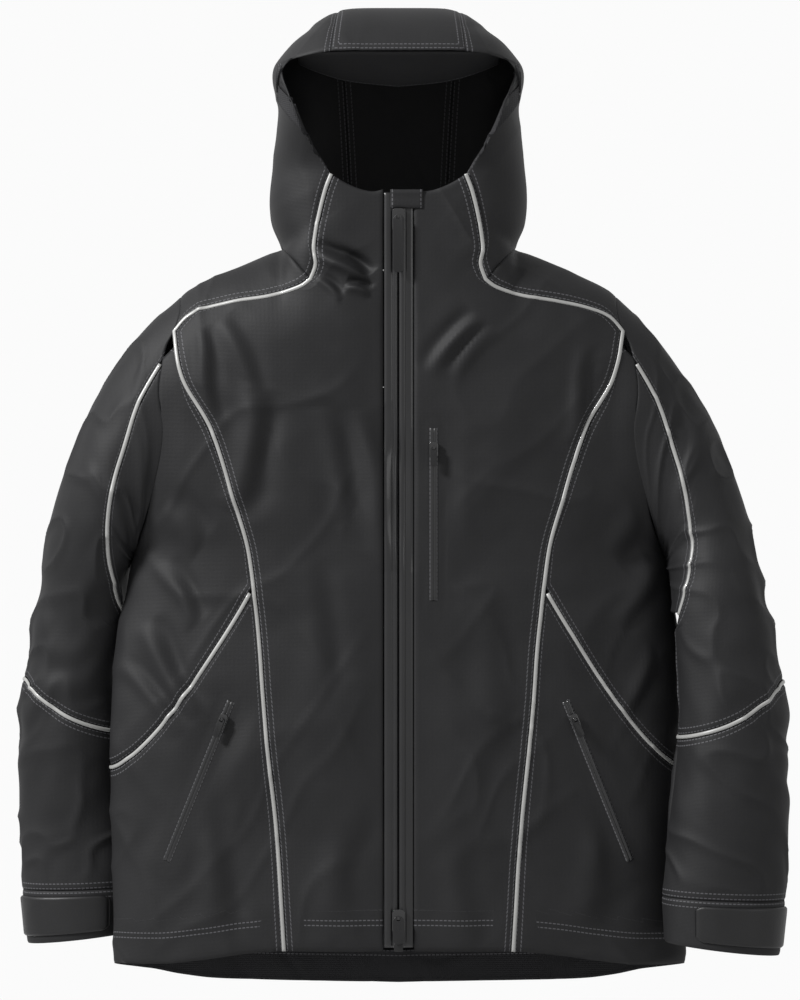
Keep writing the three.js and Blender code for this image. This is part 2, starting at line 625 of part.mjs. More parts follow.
const hoodSide = place(onHood, hoodSideChart());
hoodSide.forEach((row, i) => row[0].copy(centrePanel[i][CENTRE_COLUMNS]));

// The facing behind the face rim lies flat against the hood's side.
const facingShares = [1 - RIM_FACING, 1 - RIM_FACING / 2, 1];
const rimFacing = hoodSide.slice(0, RIM_PARTS + 1).map((row) => facingShares.map((share) => {
  const column = share * HOOD_COLUMNS;
  const k = Math.min(Math.floor(column), HOOD_COLUMNS - 1);
  return row[k].clone().lerp(row[k + 1], column - k);
}));

const FACING_DEPTH = SHELL + 4;
add('hood_centre_panel', clothPiece(centrePanel, hoodCore), 'shell');
for (const [side, sign] of SIDES) {
  add(`hood_side_${side}`, clothPiece(sided(hoodSide, sign), hoodCore,
    { right: PIPED, bottom: NECK_GAP }), 'shell');
  add(`hood_facing_${side}`, clothPiece(sided(rimFacing, sign), hoodCore, { right: PIPED, top: 6 },
    -FACING_DEPTH, -FACING_DEPTH - LINING), 'lining');
}

// The stiffened visor hangs back and down under the front of the hood.
const VISOR = { columns: 10, rows: 2, half_width: 100, inset: 7, below_brim: 2, back: 44, thickness: 2 };
const visorLow = profile([[0, 169], [51, 174], [84, 184], [104, 194]]
  .map(([x, z]) => [gradeWidth(x, z), gradeHeight(z)]));
function visorPoint(i, j) {
  const share = (2 * j) / VISOR.columns - 1;
  const x = share * gradeWidth(VISOR.half_width, BRIM_EDGE);
  const reach = frontDepth(BRIM_EDGE) * depthShare(x, BRIM_EDGE) - VISOR.inset;
  const t = i / VISOR.rows;
  const z = THREE.MathUtils.lerp(BRIM_EDGE - VISOR.below_brim, visorLow(Math.abs(x)), t);
  return new THREE.Vector3(x, -reach + t * VISOR.back * (1 - 0.5 * share * share), z);
}
const visorGrid = Array.from({ length: VISOR.rows + 1 },
  (_, i) => Array.from({ length: VISOR.columns + 1 }, (_, j) => visorPoint(i, j)));
const visorCore = { middle: (point) => new THREE.Vector3(point.x, point.y - 20, point.z + 20) };
add('hood_visor', clothPiece(visorGrid, visorCore, {}, 0, -VISOR.thickness), 'lining');

// ---------------------------------------------------------------- piping

function bodyPiping(chart) {
  return { points: chart.map(onBody), normals: surfaceNormals(onBody, chart) };
}

const frontPiping = bodyPiping(frontEdge.map((point) => bodyAngle(point)));
const TRIM = 1.5 * PIPING_WIDTH + 0.1; // the side piping stops this short of the front piping and of the side seam
const sidePiping = bodyPiping(diagonal);
sidePiping.normals[SIDE_PARTS].set(1, 0, 0);
for (const [end, next] of [[0, 1], [SIDE_PARTS, SIDE_PARTS - 1]]) {
  const [point, towards] = [sidePiping.points[end], sidePiping.points[next]];
  point.lerp(towards, TRIM / point.distanceTo(towards));
}

function addPiping(name, run, sign) {
  const points = sign > 0 ? run.points : run.points.map(mirrorPoint);
  const normals = sign > 0 ? run.normals : run.normals.map(mirrorPoint);
  add(name, seamStrip(points, normals, PIPING_WIDTH, PIPING_PROUD, -SHELL), 'piping');
}

for (const [side, sign] of SIDES) {
  addPiping(`front_piping_${side}`, frontPiping, sign);
  addPiping(`side_piping_${side}`, sidePiping, sign);
}

// ---------------------------------------------------------------- sleeves

// Cross-sections of the sleeve from the armhole to the cuff: the outer and the inner end of
// each, half its depth, and how far it has swung forward of the shoulder line.
const SECTIONS = [
  { outer: [217.5, -35], inner: [262, PIT], deep: 0.9, swing: 0 },
  { outer: [254, -70], inner: [263, -289], deep: 0.98, swing: 0 },
  { outer: [288, -118], inner: [264, -291], deep: 1.04, swing: 0 },
  { outer: [314, -163], inner: [265, -295], deep: 1.06, swing: -2 },
  { outer: [333, -210], inner: [267, -302], deep: 1.06, swing: -8 },
  { outer: [350, -265], inner: [270, -318], deep: 1.05, swing: -20 },
  { outer: [363, -331], inner: [272, -352], deep: 1.02, swing: -34 },
  { outer: [375, -389], inner: [276, -398], deep: 1, swing: -41 },
  { outer: [383, -445], inner: [278, -447], deep: 0.96, swing: -45 },
  { outer: [386, -500], inner: [274, -497], deep: 0.92, swing: -49 },
  { outer: [386, -545], inner: [268, -545], deep: 0.88, swing: -52 },
  { outer: [383, -590], inner: [263, -590], deep: 0.85, swing: -54 },
  { outer: [381, -632], inner: [260, -628], deep: 0.82, swing: -55 },
  { outer: [376, -686], inner: [262, -673], deep: 0.81, swing: -55 },
];
const CUFF_START = 12;
const CUFF_END = 13;

const CUFF_HEIGHT = -686; // height of the cuff's end on the base pattern
const sleeveHeight = (z) => (z > PIT ? gradeHeight(z) : gradeHeight(PIT) + (z - PIT) * ARM);
const sectionCurve = (key) => new THREE.CatmullRomCurve3(SECTIONS.map((section) => {
  const [x, z] = section[key];
  return new THREE.Vector3(x * GIRTH, section.swing, sleeveHeight(z));
}), false, 'catmullrom');
const outerCurve = sectionCurve('outer');
const innerCurve = sectionCurve('inner');
const sleeveDeep = profile(SECTIONS.map((section, i) => [i, section.deep * SLEEVE_HALF_DEPTH]));
const ARMHOLE_BLEND = 2.2; // sections over which the armhole's shape turns into the sleeve's

// A point on the sleeve from the angle round it, 0 at the outer edge and 90 at the front, and
// the distance along it counted in sections. swung is 1 for a sleeve that hangs forward of the
// body's side and -1 for one that hangs behind it.
const onSleeve = (swung) => ({ x: angle, y: along }) => {
  const share = (1 - Math.cos(radians(angle))) / 2;
  const place = outerCurve.getPoint(along / CUFF_END).lerp(innerCurve.getPoint(along / CUFF_END), share);
  const front = Math.sin(radians(angle));
  const [top, low] = [gradeHeight(SHOULDER_TIP), gradeHeight(PIT)];
  const z = THREE.MathUtils.lerp(top, low, share);
  const towards = Math.sign(Math.round(front * 1e6)); // 1 at the front, -1 at the back, 0 on the ridge
  const edge = depthShare(armholeHalf(z), z) * (front > 0 ? frontDepth(z) : backDepth(z)) * towards;
  const blend = THREE.MathUtils.smoothstep(along, 0, ARMHOLE_BLEND);
  const bulge = armholeHalf(z) - THREE.MathUtils.lerp(armholeHalf(top), armholeHalf(low), share);
  place.x += bulge * (1 - blend);
  place.y = swung * place.y - THREE.MathUtils.lerp(edge, front * sleeveDeep(along), blend);
  return place;
};

const ARMHOLE_GAP = 1.8; // the sleeve's edge stands this far outside the armhole
const GUSSET_END = 6.3;
const gussetShare = profile([[0, 0.26], [1, 0.36], [2, 0.49], [3, 0.59], [4, 0.68], [5, 0.8], [6, 0.94],
  [GUSSET_END, 0.985]]);
const angleAt = (share) => THREE.MathUtils.radToDeg(Math.acos(1 - 2 * share));
const gussetAngle = (along) => angleAt(gussetShare(Math.min(along, GUSSET_END)));
const UNDER_SEAM = 179.4; // the lengthwise seam under the sleeve
const ARMHOLE_START = 0.03; // the sleeve starts this share of a section outside the armhole
const elbowSeam = (angle) => {
  const share = (1 - Math.cos(radians(angle))) / 2;
  return 7.5 + share + 0.16 * Math.sin(Math.PI * share);
};

function sleeveUpperChart() {
  const ROWS = 12;
  const COLUMNS = 12;
  return Array.from({ length: ROWS + 1 }, (_, i) => Array.from({ length: COLUMNS + 1 }, (_, j) => {
    const u = (2 * j) / COLUMNS - 1;
    const rough = THREE.MathUtils.lerp(ARMHOLE_START, 8, i / ROWS);
    const reach = rough < GUSSET_END ? gussetAngle(rough) : UNDER_SEAM;
    const angle = u * reach;
    const along = THREE.MathUtils.lerp(ARMHOLE_START, elbowSeam(angle), i / ROWS);
    const close = along < GUSSET_END ? Math.min(gussetAngle(along), UNDER_SEAM) : UNDER_SEAM;
    return new THREE.Vector2(u * close, along);
  }));
}

function gussetChart() {
  const ROWS = 8;
  const COLUMNS = 6;
  return Array.from({ length: ROWS + 1 }, (_, i) => Array.from({ length: COLUMNS + 1 }, (_, j) => {
    const along = THREE.MathUtils.lerp(ARMHOLE_START, GUSSET_END - 0.35, i / ROWS);
    const edge = gussetAngle(along);
    return new THREE.Vector2(THREE.MathUtils.lerp(edge, 360 - edge, j / COLUMNS), along);
  }));
}

function tubeChart(start, end, rows, columns, first = -UNDER_SEAM, last = UNDER_SEAM) {
  return Array.from({ length: rows + 1 }, (_, i) => Array.from({ length: columns + 1 }, (_, j) => {
    const angle = THREE.MathUtils.lerp(first, last, j / columns);
    return new THREE.Vector2(angle, THREE.MathUtils.lerp(start(angle), end(angle), i / rows));
  }));
}

const SLEEVE_COLUMNS = 14;
const forearmChart = tubeChart(elbowSeam, () => CUFF_START, 6, SLEEVE_COLUMNS);
const cuffChart = tubeChart(() => CUFF_START, () => CUFF_END, 2, SLEEVE_COLUMNS);
const TAB = { from: 14, to: 120, top: 12.12, bottom: 12.86 };
const tabChart = tubeChart(() => TAB.top, () => TAB.bottom, 2, 8, TAB.from, TAB.to);

const sleeveCore = (surface) => ({
  middle: (point) => {
    const top = gradeHeight(SHOULDER_TIP);
    const along = THREE.MathUtils.clamp((top - point.z) / (top - sleeveHeight(CUFF_HEIGHT)), 0, 1) * CUFF_END;
    return surface({ x: 90, y: along }).lerp(surface({ x: 270, y: along }), 0.5);
  },
});

for (const [side, sign] of SIDES) {
  const surface = onSleeve(sign);
  const core = sleeveCore(surface);
  const make = (chart, edges, outer = 0, inner = -SHELL) => {
    const grid = place(surface, chart);
    const normals = gridNormals(grid, core);
    const drawn = drawIn(grid, edges);
    return sign > 0 ? sheet(drawn, normals, outer, inner)
      : sheet(mirrorGrid(drawn), mirrorGrid(normals), outer, inner);
  };
  add(`sleeve_upper_${side}`, make(sleeveUpperChart(),
    { left: PIPED, right: PIPED, bottom: PIPED, top: ARMHOLE_GAP }), 'shell');
  add(`sleeve_gusset_${side}`, make(gussetChart(), { left: PIPED, right: PIPED, top: ARMHOLE_GAP }), 'shell');
  add(`forearm_${side}`, make(forearmChart, { top: PIPED }), 'shell');
  add(`cuff_${side}`, make(cuffChart, {}), 'shell');
  add(`cuff_tab_${side}`, make(tabChart, {}, CLEARANCE + CUFF_TAB_THICKNESS, CLEARANCE), 'slider');

  const along = Array.from({ length: 11 }, (_, i) => THREE.MathUtils.lerp(0.35, GUSSET_END - 0.4, i / 10));
  const runs = {
    sleeve_piping: along.map((v) => new THREE.Vector2(gussetAngle(v), v)),
    forearm_piping: Array.from({ length: 13 }, (_, i) => {
      const angle = THREE.MathUtils.lerp(-170, 170, i / 12);
      return new THREE.Vector2(angle, elbowSeam(angle));
    }),
  };
  for (const [name, chart] of Object.entries(runs)) {
    const STEP = 0.02;
    const points = chart.map(surface);
    const normals = chart.map(({ x, y }) => {
      const round = surface({ x: x + 1, y }).sub(surface({ x: x - 1, y }));
      const down = surface({ x, y: y + STEP }).sub(surface({ x, y: y - STEP }));
      const normal = round.cross(down).normalize();
      const outward = surface({ x, y }).sub(surface({ x: x + 180, y }));
      return normal.dot(outward) < 0 ? normal.negate() : normal;
    });
    addPiping(`${name}_${side}`, { points, normals }, sign);
  }
}

// ---------------------------------------------------------------- zips

// A patch of the body between two distances from the middle, from one height down to another.
function bodyPatch(leftAt, rightAt, top, bottom, rows, columns) {
  return Array.from({ length: rows + 1 }, (_, i) => {
    const z = THREE.MathUtils.lerp(top, bottom, i / rows);
    const left = leftAt(z);
    const right = rightAt(z);
    return Array.from({ length: columns + 1 }, (_, j) => {
      const x = THREE.MathUtils.lerp(left, right, j / columns);
      return onBody(bodyAngle(new THREE.Vector2(x, z)));
    });
  });
}

const NO_DRAW = { left: 0, right: 0, top: 0, bottom: 0 };
const COLLAR_EDGE = gradeHeight(67);
const FRONT_HEM = hemHeight(0);
const ZIP_TOP = COLLAR_EDGE - 3;
const ZIP_BOTTOM = FRONT_HEM + 4;
const tapeInner = TAPE_GAP / 2;
const tapeOuter = PLACKET - SEAM_GAP;

for (const [side, sign] of SIDES) {
  const grid = bodyPatch(() => tapeInner, () => tapeOuter, ZIP_TOP, ZIP_BOTTOM, 12, 1);
  add(`zip_tape_${side}`, clothPiece(sided(grid, sign), torsoCore, NO_DRAW), 'tape');
}

const FLAP_DEPTH = SHELL + 3.6; // room behind the zip for the inside half of the sliders
const FLAP = { right: -13, left: 25, below_collar: 8, above_hem: 6 };
const FLAP_TOP = COLLAR_EDGE - FLAP.below_collar;
const flap = bodyPatch(() => FLAP.right, () => FLAP.left, FLAP_TOP, FRONT_HEM + FLAP.above_hem, 12, 2);
add('storm_flap', clothPiece(flap, torsoCore, NO_DRAW, -FLAP_DEPTH, -FLAP_DEPTH - LINING), 'lining');
const GARAGE = { right: -8, left: 24, below_edge: 0.5, depth: 18.5, thickness: 1.2 };
const GARAGE_TOP = COLLAR_EDGE - GARAGE.below_edge;
const garage = bodyPatch(() => GARAGE.right, () => GARAGE.left, GARAGE_TOP, GARAGE_TOP - GARAGE.depth, 3, 3);
add('zip_garage', clothPiece(garage, torsoCore, NO_DRAW, CLEARANCE + GARAGE.thickness, CLEARANCE), 'shell');

const solidOf = (geometry) => {
  const bare = geometry.clone();
  bare.deleteAttribute('normal');
  bare.deleteAttribute('uv');
  const merged = BufferGeometryUtils.mergeVertices(bare, 1e-4);
  return new wasm.Manifold(new wasm.Mesh({
    numProp: 3,
    vertProperties: new Float32Array(merged.getAttribute('position').array),
    triVerts: new Uint32Array(merged.getIndex().array),
  }));
};

const geometryOf = (solid) => {
  const mesh = solid.getMesh();
  const geometry = new THREE.BufferGeometry();
  geometry.setAttribute('position', new THREE.BufferAttribute(new Float32Array(mesh.vertProperties), 3));
  geometry.setIndex([...mesh.triVerts]);
  return geometry;
};

const block = (width, depth, height, x, y, z) => {
  const geometry = new THREE.BoxGeometry(width, depth, height);
  geometry.translate(x, y, z);
  return solidOf(geometry);
};

const rounded = (width, length, radius) => {
  const shape = new THREE.Shape();
  const x = width / 2;
  shape.moveTo(-x + radius, 0);
  shape.lineTo(x - radius, 0);
  shape.absarc(x - radius, -radius, radius, Math.PI / 2, 0, true);
  shape.lineTo(x, -length + radius);
  shape.absarc(x - radius, -length + radius, radius, 0, -Math.PI / 2, true);
  shape.lineTo(-x + radius, -length);
  shape.absarc(-x + radius, -length + radius, radius, -Math.PI / 2, -Math.PI, true);
  shape.lineTo(-x, -radius);
  shape.absarc(-x + radius, -radius, radius, Math.PI, Math.PI / 2, true);
  return shape;
};

const plate = (shape, thickness) => {
  const options = { depth: thickness, bevelEnabled: false, curveSegments: 3 };
  const geometry = new THREE.ExtrudeGeometry(shape, options);
  geometry.rotateX(Math.PI / 2); // the outline stands up in X and Z, and its thickness runs towards -Y
  return solidOf(geometry);
};

const POST = { width: 2.4, depth: 3.4, length: 3, root: 0.4 }; // root is sunk into the plate
const WEB = { width: 0.4, plate: 1.4 }; // joins a front slider's outer plate to its inner one
const PULL_HEAD = 1.2; // the pull reaches this far above its pivot, and clears the plate as it turns
const SLOT_FOOT = -2.6; // where its fork ends, below the pivot
const FORK_GAP = 0.5; // between the pull's fork and the post

// A slider whose outer plate's underside lies on y = 0 and whose top end is at z = 0. captive
// adds the plate inside the zip and the web that joins the two through it.
function sliderGeometry(size, captive) {
  const corner = size.width * 0.28;
  const postAt = -size.length * 0.35;
  const sunk = POST.depth + POST.root;
  let solid = plate(rounded(size.width, size.length, corner), size.height);
  solid = solid.add(block(POST.width, sunk, POST.length, 0, -size.height - POST.depth + sunk / 2, postAt));
  if (captive) {
    const tape = SHELL + 2 * CLEARANCE;
    const inner = plate(rounded(size.width * 0.9, size.length * 0.9, corner), WEB.plate);
    const web = block(WEB.width, tape + 2 * POST.root, size.length * 0.5, 0, tape / 2, -size.length * 0.5);
    solid = solid.add(web);
    solid = solid.add(inner.translate(0, tape + WEB.plate, -size.length * 0.05));
  }
  const pivot = new THREE.Vector3(0, -size.height - POST.depth * 0.6, postAt);
  return { geometry: geometryOf(solid), pivot };
}

// A pull that hangs from z = 0 with its pivot at the origin: its fork straddles the post.
function pullGeometry(size) {
  const outline = rounded(size.width, size.length, size.width * 0.4);
  const blade = plate(outline, size.thickness).translate(0, size.thickness / 2, PULL_HEAD);
  const slotTop = PULL_HEAD * 2; // past the head, so that the fork is open
  const slotWidth = POST.width + 2 * FORK_GAP;
  const slotLength = slotTop - SLOT_FOOT;
  const slot = block(slotWidth, size.thickness * 2, slotLength, 0, 0, slotTop - slotLength / 2);
  return geometryOf(blade.subtract(slot));
}

// Places a slider and its pull at a point of the front, in line with the zip's run to its other
// end. under holds points that the slider passes over: it stands clear of the highest.
function addZipRunner(names, sizes, topPoint, endPoint, lift, captive, under = []) {
  const down = endPoint.clone().sub(topPoint).normalize();
  const middle = topPoint.clone().lerp(endPoint, 0.5);
  const chart = bodyAngle(new THREE.Vector2(middle.x, middle.z));
  const outward = surfaceNormals(onBody, [chart])[0];
  const up = down.clone().negate();
  const back = outward.clone().addScaledVector(up, -outward.dot(up)).normalize().negate();
  const across = back.clone().cross(up).normalize();
  const frame = new THREE.Group();
  frame.quaternion.setFromRotationMatrix(new THREE.Matrix4().makeBasis(across, back, up));
  const bulge = Math.max(0, ...under.map((point) => -point.clone().sub(topPoint).dot(back)));
  frame.position.copy(topPoint).addScaledVector(back, -lift - bulge);
  const slider = sliderGeometry(sizes.slider, captive);
  add(names[0], slider.geometry, 'slider', frame);
  const pull = add(names[1], pullGeometry(sizes.pull), 'slider', frame);
  pull.position.copy(slider.pivot);
  jacket.add(frame);
}

const frontPoint = (x, z) => onBody(bodyAngle(new THREE.Vector2(x, z)));
const TOP_SLIDER_AT = COLLAR_EDGE - TOP_SLIDER_BELOW_COLLAR;
const BOTTOM_SLIDER_AT = FRONT_HEM + BOTTOM_SLIDER_ABOVE_HEM;
const CHORD = 60; // a slider lines up with the zip over this much of its run
addZipRunner(['top_slider', 'top_pull'], { slider: FRONT_SLIDER, pull: FRONT_PULL },
  frontPoint(0, TOP_SLIDER_AT), frontPoint(0, TOP_SLIDER_AT - CHORD), CLEARANCE, true);
addZipRunner(['bottom_slider', 'bottom_pull'], { slider: FRONT_SLIDER, pull: BOTTOM_PULL },
  frontPoint(0, BOTTOM_SLIDER_AT), frontPoint(0, BOTTOM_SLIDER_AT - CHORD), CLEARANCE, true);

// The box at the foot of the zip that the pin goes into.
const ZIP_BOX = { width: 9, length: 8, corner: 1.5, thickness: 2.6, top_above_hem: 8.5 };
const zipBox = plate(rounded(ZIP_BOX.width, ZIP_BOX.length, ZIP_BOX.corner), ZIP_BOX.thickness);
const zipBoxMesh = add('zip_box', geometryOf(zipBox), 'slider');
zipBoxMesh.position.copy(frontPoint(0, FRONT_HEM + ZIP_BOX.top_above_hem));
zipBoxMesh.position.y -= CLEARANCE;

// A pocket's zip strip, lying on the panel along a straight run from one point to another.
function pocketStrip(top, bottom) {
  const ROWS = 12;
  const across = new THREE.Vector2(bottom.y - top.y, top.x - bottom.x).normalize();
  const offset = across.multiplyScalar(POCKET_ZIP_WIDTH / 2);
  const grid = Array.from({ length: ROWS + 1 }, (_, i) => {
    const middle = top.clone().lerp(bottom, i / ROWS);
    return [-1, 0, 1].map((share) => {
      const spot = middle.clone().addScaledVector(offset, share);
      return frontPoint(spot.x, spot.y);
    });
  });
  return grid;
}

const STRIP_OUT = CLEARANCE + POCKET_ZIP_THICKNESS;
function addPocketZip(name, sign, top, bottom) {
  const grid = pocketStrip(top, bottom);
  add(`${name}_zip`, clothPiece(sided(grid, sign), torsoCore, NO_DRAW, STRIP_OUT, CLEARANCE), 'tape');
  const from = top.clone().lerp(bottom, 14 / top.distanceTo(bottom));
  const start = frontPoint(from.x, from.y);
  const end = frontPoint(bottom.x, bottom.y);
  if (sign < 0) {
    start.x *= -1;
    end.x *= -1;
  }
  addZipRunner([`${name}_slider`, `${name}_pull`], { slider: POCKET_SLIDER, pull: POCKET_PULL },
    start, end, STRIP_OUT + CLEARANCE, false, sided(grid, sign).flat());
}

const chestTop = new THREE.Vector2(CHEST_ZIP.across * GIRTH, gradeHeight(CHEST_ZIP.top));
addPocketZip('chest', 1, chestTop, chestTop.clone().add(new THREE.Vector2(0, -CHEST_ZIP.length)));
const handTop = new THREE.Vector2(HAND_ZIP.across * GIRTH, gradeHeight(HAND_ZIP.top));
const handRun = new THREE.Vector2(HAND_ZIP.slope, -1).normalize().multiplyScalar(HAND_ZIP.length);
for (const [side, sign] of SIDES) addPocketZip(`hand_${side}`, sign, handTop, handTop.clone().add(handRun));

// ---------------------------------------------------------------- inside pieces

const BAG_DEPTH = SHELL + 2;
const bag = ({ inner, outer, top, bottom }) => bodyPatch(
  () => inner * GIRTH, () => outer * GIRTH, gradeHeight(top), gradeHeight(bottom), 6, 4);
const addInner = (name, grid) => add(name,
  clothPiece(grid, torsoCore, NO_DRAW, -BAG_DEPTH, -BAG_DEPTH - LINING), 'lining');
const CHEST_BAG = { inner: 29, outer: 140, top: -180, bottom: -385 };
const HAND_BAG = { inner: 100, outer: 240, top: -440, bottom: -638 };
addInner('chest_pocket_bag', bag(CHEST_BAG));
for (const [side, sign] of SIDES) addInner(`hand_pocket_bag_${side}`, sided(bag(HAND_BAG), sign));

const FACING_COLUMNS = 36;
const FACING_START = 5.4; // degrees from the middle of the front to the end of the facing
const hemFacing = Array.from({ length: 3 }, (_, i) => Array.from({ length: FACING_COLUMNS + 1 }, (_, j) => {
  const angle = THREE.MathUtils.lerp(FACING_START, 360 - FACING_START, j / FACING_COLUMNS);
  const low = hemHeight(angle > 180 ? 360 - angle : angle) + 1;
  return onBody(new THREE.Vector2(angle, low + HEM_FACING * (1 - i / 2)));
}));
addInner('hem_facing', hemFacing);

const LOOP_HEIGHT = gradeHeight(-5) - LOOP.below_neck;
const loopSeat = backDepth(LOOP_HEIGHT) * depthShare(0, LOOP_HEIGHT) - SHELL - CLEARANCE - LOOP.thickness;
const loopPath = new THREE.CatmullRomCurve3([
  new THREE.Vector3(-LOOP.span / 2, loopSeat - 0.5, LOOP_HEIGHT),
  new THREE.Vector3(-LOOP.span * 0.3, loopSeat - LOOP.bow * 0.7, LOOP_HEIGHT),
  new THREE.Vector3(0, loopSeat - LOOP.bow, LOOP_HEIGHT),
  new THREE.Vector3(LOOP.span * 0.3, loopSeat - LOOP.bow * 0.7, LOOP_HEIGHT),
  new THREE.Vector3(LOOP.span / 2, loopSeat - 0.5, LOOP_HEIGHT),
]);
const loopPoints = loopPath.getSpacedPoints(16);
const loopNormals = loopPoints.map((_, i) => {
  const tangent = loopPoints[Math.min(i + 1, 16)].clone().sub(loopPoints[Math.max(i - 1, 0)]).normalize();
  return new THREE.Vector3(0, 0, 1).cross(tangent);
});
const loopStrip = seamStrip(loopPoints, loopNormals, LOOP.webbing, LOOP.thickness / 2, -LOOP.thickness / 2);
add('hang_loop', loopStrip, 'webbing');

// ---------------------------------------------------------------- origin

// The origin is the middle of the hang loop, where a hook carries the jacket.
const origin = new THREE.Vector3(0, loopSeat - LOOP.bow, LOOP_HEIGHT);
jacket.position.copy(origin).negate();
const held = new THREE.Group();
held.add(jacket);

export default held;
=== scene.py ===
"""The looks of a hooded hardshell jacket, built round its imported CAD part.

Every cloth panel, piping and zip is a surface worked out on a grid: a point of the flat pattern (an
angle round the body and a height) goes to a place on the body, the hood or a sleeve, and a fold
field then moves it along its normal. Sizes are millimetres of the pattern; meshes are in metres.
"""

import logging
import math
from dataclasses import dataclass, field, replace
from enum import Enum
from typing import Callable, Sequence

import bmesh
import bpy
import numpy as np
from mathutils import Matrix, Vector


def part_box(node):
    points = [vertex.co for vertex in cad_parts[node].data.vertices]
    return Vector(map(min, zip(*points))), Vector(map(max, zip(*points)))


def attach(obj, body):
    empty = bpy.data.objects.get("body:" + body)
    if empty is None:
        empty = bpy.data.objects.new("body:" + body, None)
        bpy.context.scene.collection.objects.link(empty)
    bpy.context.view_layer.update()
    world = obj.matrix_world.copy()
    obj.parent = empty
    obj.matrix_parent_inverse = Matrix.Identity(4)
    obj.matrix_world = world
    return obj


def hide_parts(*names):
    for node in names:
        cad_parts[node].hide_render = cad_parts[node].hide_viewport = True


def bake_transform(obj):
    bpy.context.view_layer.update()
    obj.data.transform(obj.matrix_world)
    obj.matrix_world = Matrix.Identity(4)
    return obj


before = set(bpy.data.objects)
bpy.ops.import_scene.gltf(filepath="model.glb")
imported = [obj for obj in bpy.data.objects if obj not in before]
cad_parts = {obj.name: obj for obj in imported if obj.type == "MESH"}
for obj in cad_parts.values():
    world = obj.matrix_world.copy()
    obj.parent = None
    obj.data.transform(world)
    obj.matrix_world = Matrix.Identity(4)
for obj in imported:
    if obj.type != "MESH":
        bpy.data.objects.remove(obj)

Array = np.ndarray
Surface = Callable[[Array], Array]
log = logging.getLogger("jacket")

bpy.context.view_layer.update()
MM = 0.001
FINE = 9  # grid steps for each step of the plain pattern
PIT = -288.0  # height of the underarm
SHOULDER_TIP = -35.0
CROWN = 253.0
BROW = 150.0
NAPE = 130.0
PLACKET = 15.0  # where the front panels end beside the zip
FRONT_HEM = -683.0
COLLAR_EDGE = 67.0

# Top and bottom of each pocket zip on the pattern
CHEST_ZIP = ((34.5, -167.0), (34.5, -337.0))
HAND_ZIP_LEFT = ((165.0, -436.0), (229.6, -595.4))


class Slot(Enum):
    """The record's material slots."""

    SHELL = "shell"
    LINING = "lining"
    PIPING = "piping"
    TAPE = "tape"
    SLIDER = "slider"
    MOULDING = "moulding"
    WEBBING = "webbing"


class Side(Enum):
    """The wearer's two sides, with the sign of X on each."""

    LEFT = 1
    RIGHT = -1

    @property
    def word(self) -> str:
        """Returns the side's name as it stands in node names."""
        return self.name.lower()


# ------------------------------------------------------------------ curves and fields


def hermite(knots: Sequence[Sequence[float]]) -> Callable[[Array], Array]:
    """A smooth value along one coordinate.

    Cubic pieces run through the knots, each knot's slope taken from its two neighbours.

    Args:
        knots: (coordinate, value) pairs in any order.

    Returns:
        A function of an array of coordinates.
    """
    rows = np.array(sorted(knots), float)
    x, y = rows[:, 0], rows[:, 1]
    count = len(x)
    low = np.maximum(np.arange(count) - 1, 0)
    high = np.minimum(np.arange(count) + 1, count - 1)
    slope = (y[high] - y[low]) / (x[high] - x[low])

    def value(at: Array) -> Array:
        """Returns the curve's values."""
        at = np.clip(at, x[0], x[-1])
        i = np.clip(np.searchsorted(x, at, side="left") - 1, 0, count - 2)
        span = x[i + 1] - x[i]
        t = (at - x[i]) / span
        start = (1 + 2 * t) * (1 - t) ** 2 * y[i] + t * (1 - t) ** 2 * span * slope[i]
        return start + t * t * (3 - 2 * t) * y[i + 1] - t * t * (1 - t) * span * slope[i + 1]

    return value


def smoothstep(x: Array, low: float, high: float) -> Array:
    """Returns 0 below low, 1 above high and a smooth step between."""
    t = np.clip((x - low) / (high - low), 0, 1)
    return t * t * (3 - 2 * t)


def mix(a: Array, b: Array, t: Array) -> Array:
    """Returns the value a share t of the way from a to b."""
    return a + (b - a) * t


def cubic(start: Array, end: Array, leave: Array, arrive: Array, t: Array) -> Array:
    """Returns the cubic between two points that leaves and arrives with the given slopes."""
    steep = 2 * start - 2 * end + leave + arrive
    return steep * t**3 + (-3 * start + 3 * end - 2 * leave - arrive) * t**2 + leave * t + start


def spline(points: Sequence[Sequence[float]], count: int) -> Array:
    """A seam line: a Catmull-Rom curve through points, resampled to equal lengths.

    Args:
        points: the points of the seam on the pattern.
        count: how many equal steps to cut it into.

    Returns:
        An array of count + 1 points.
    """
    p = np.array(points, float)
    ends = np.vstack([p[:1], p, p[-1:]])
    t = np.linspace(0, len(p) - 1, 60 * len(p))
    i = np.minimum(t.astype(int), len(p) - 2)
    w = (t - i)[:, None]
    p0, p1, p2, p3 = ends[i], ends[i + 1], ends[i + 2], ends[i + 3]
    v0, v1 = (p2 - p0) / 2, (p3 - p1) / 2
    curve = cubic(p1, p2, v0, v1, w)
    reached = np.concatenate([[0], np.cumsum(np.linalg.norm(np.diff(curve, axis=0), axis=1))])
    at = np.linspace(0, reached[-1], count + 1)
    return np.stack([np.interp(at, reached, curve[:, k]) for k in range(curve.shape[1])], axis=-1)


def joined(*runs: Array) -> Array:
    """Returns runs of points end to end, each shared end kept once."""
    return np.vstack([runs[0]] + [run[1:] for run in runs[1:]])


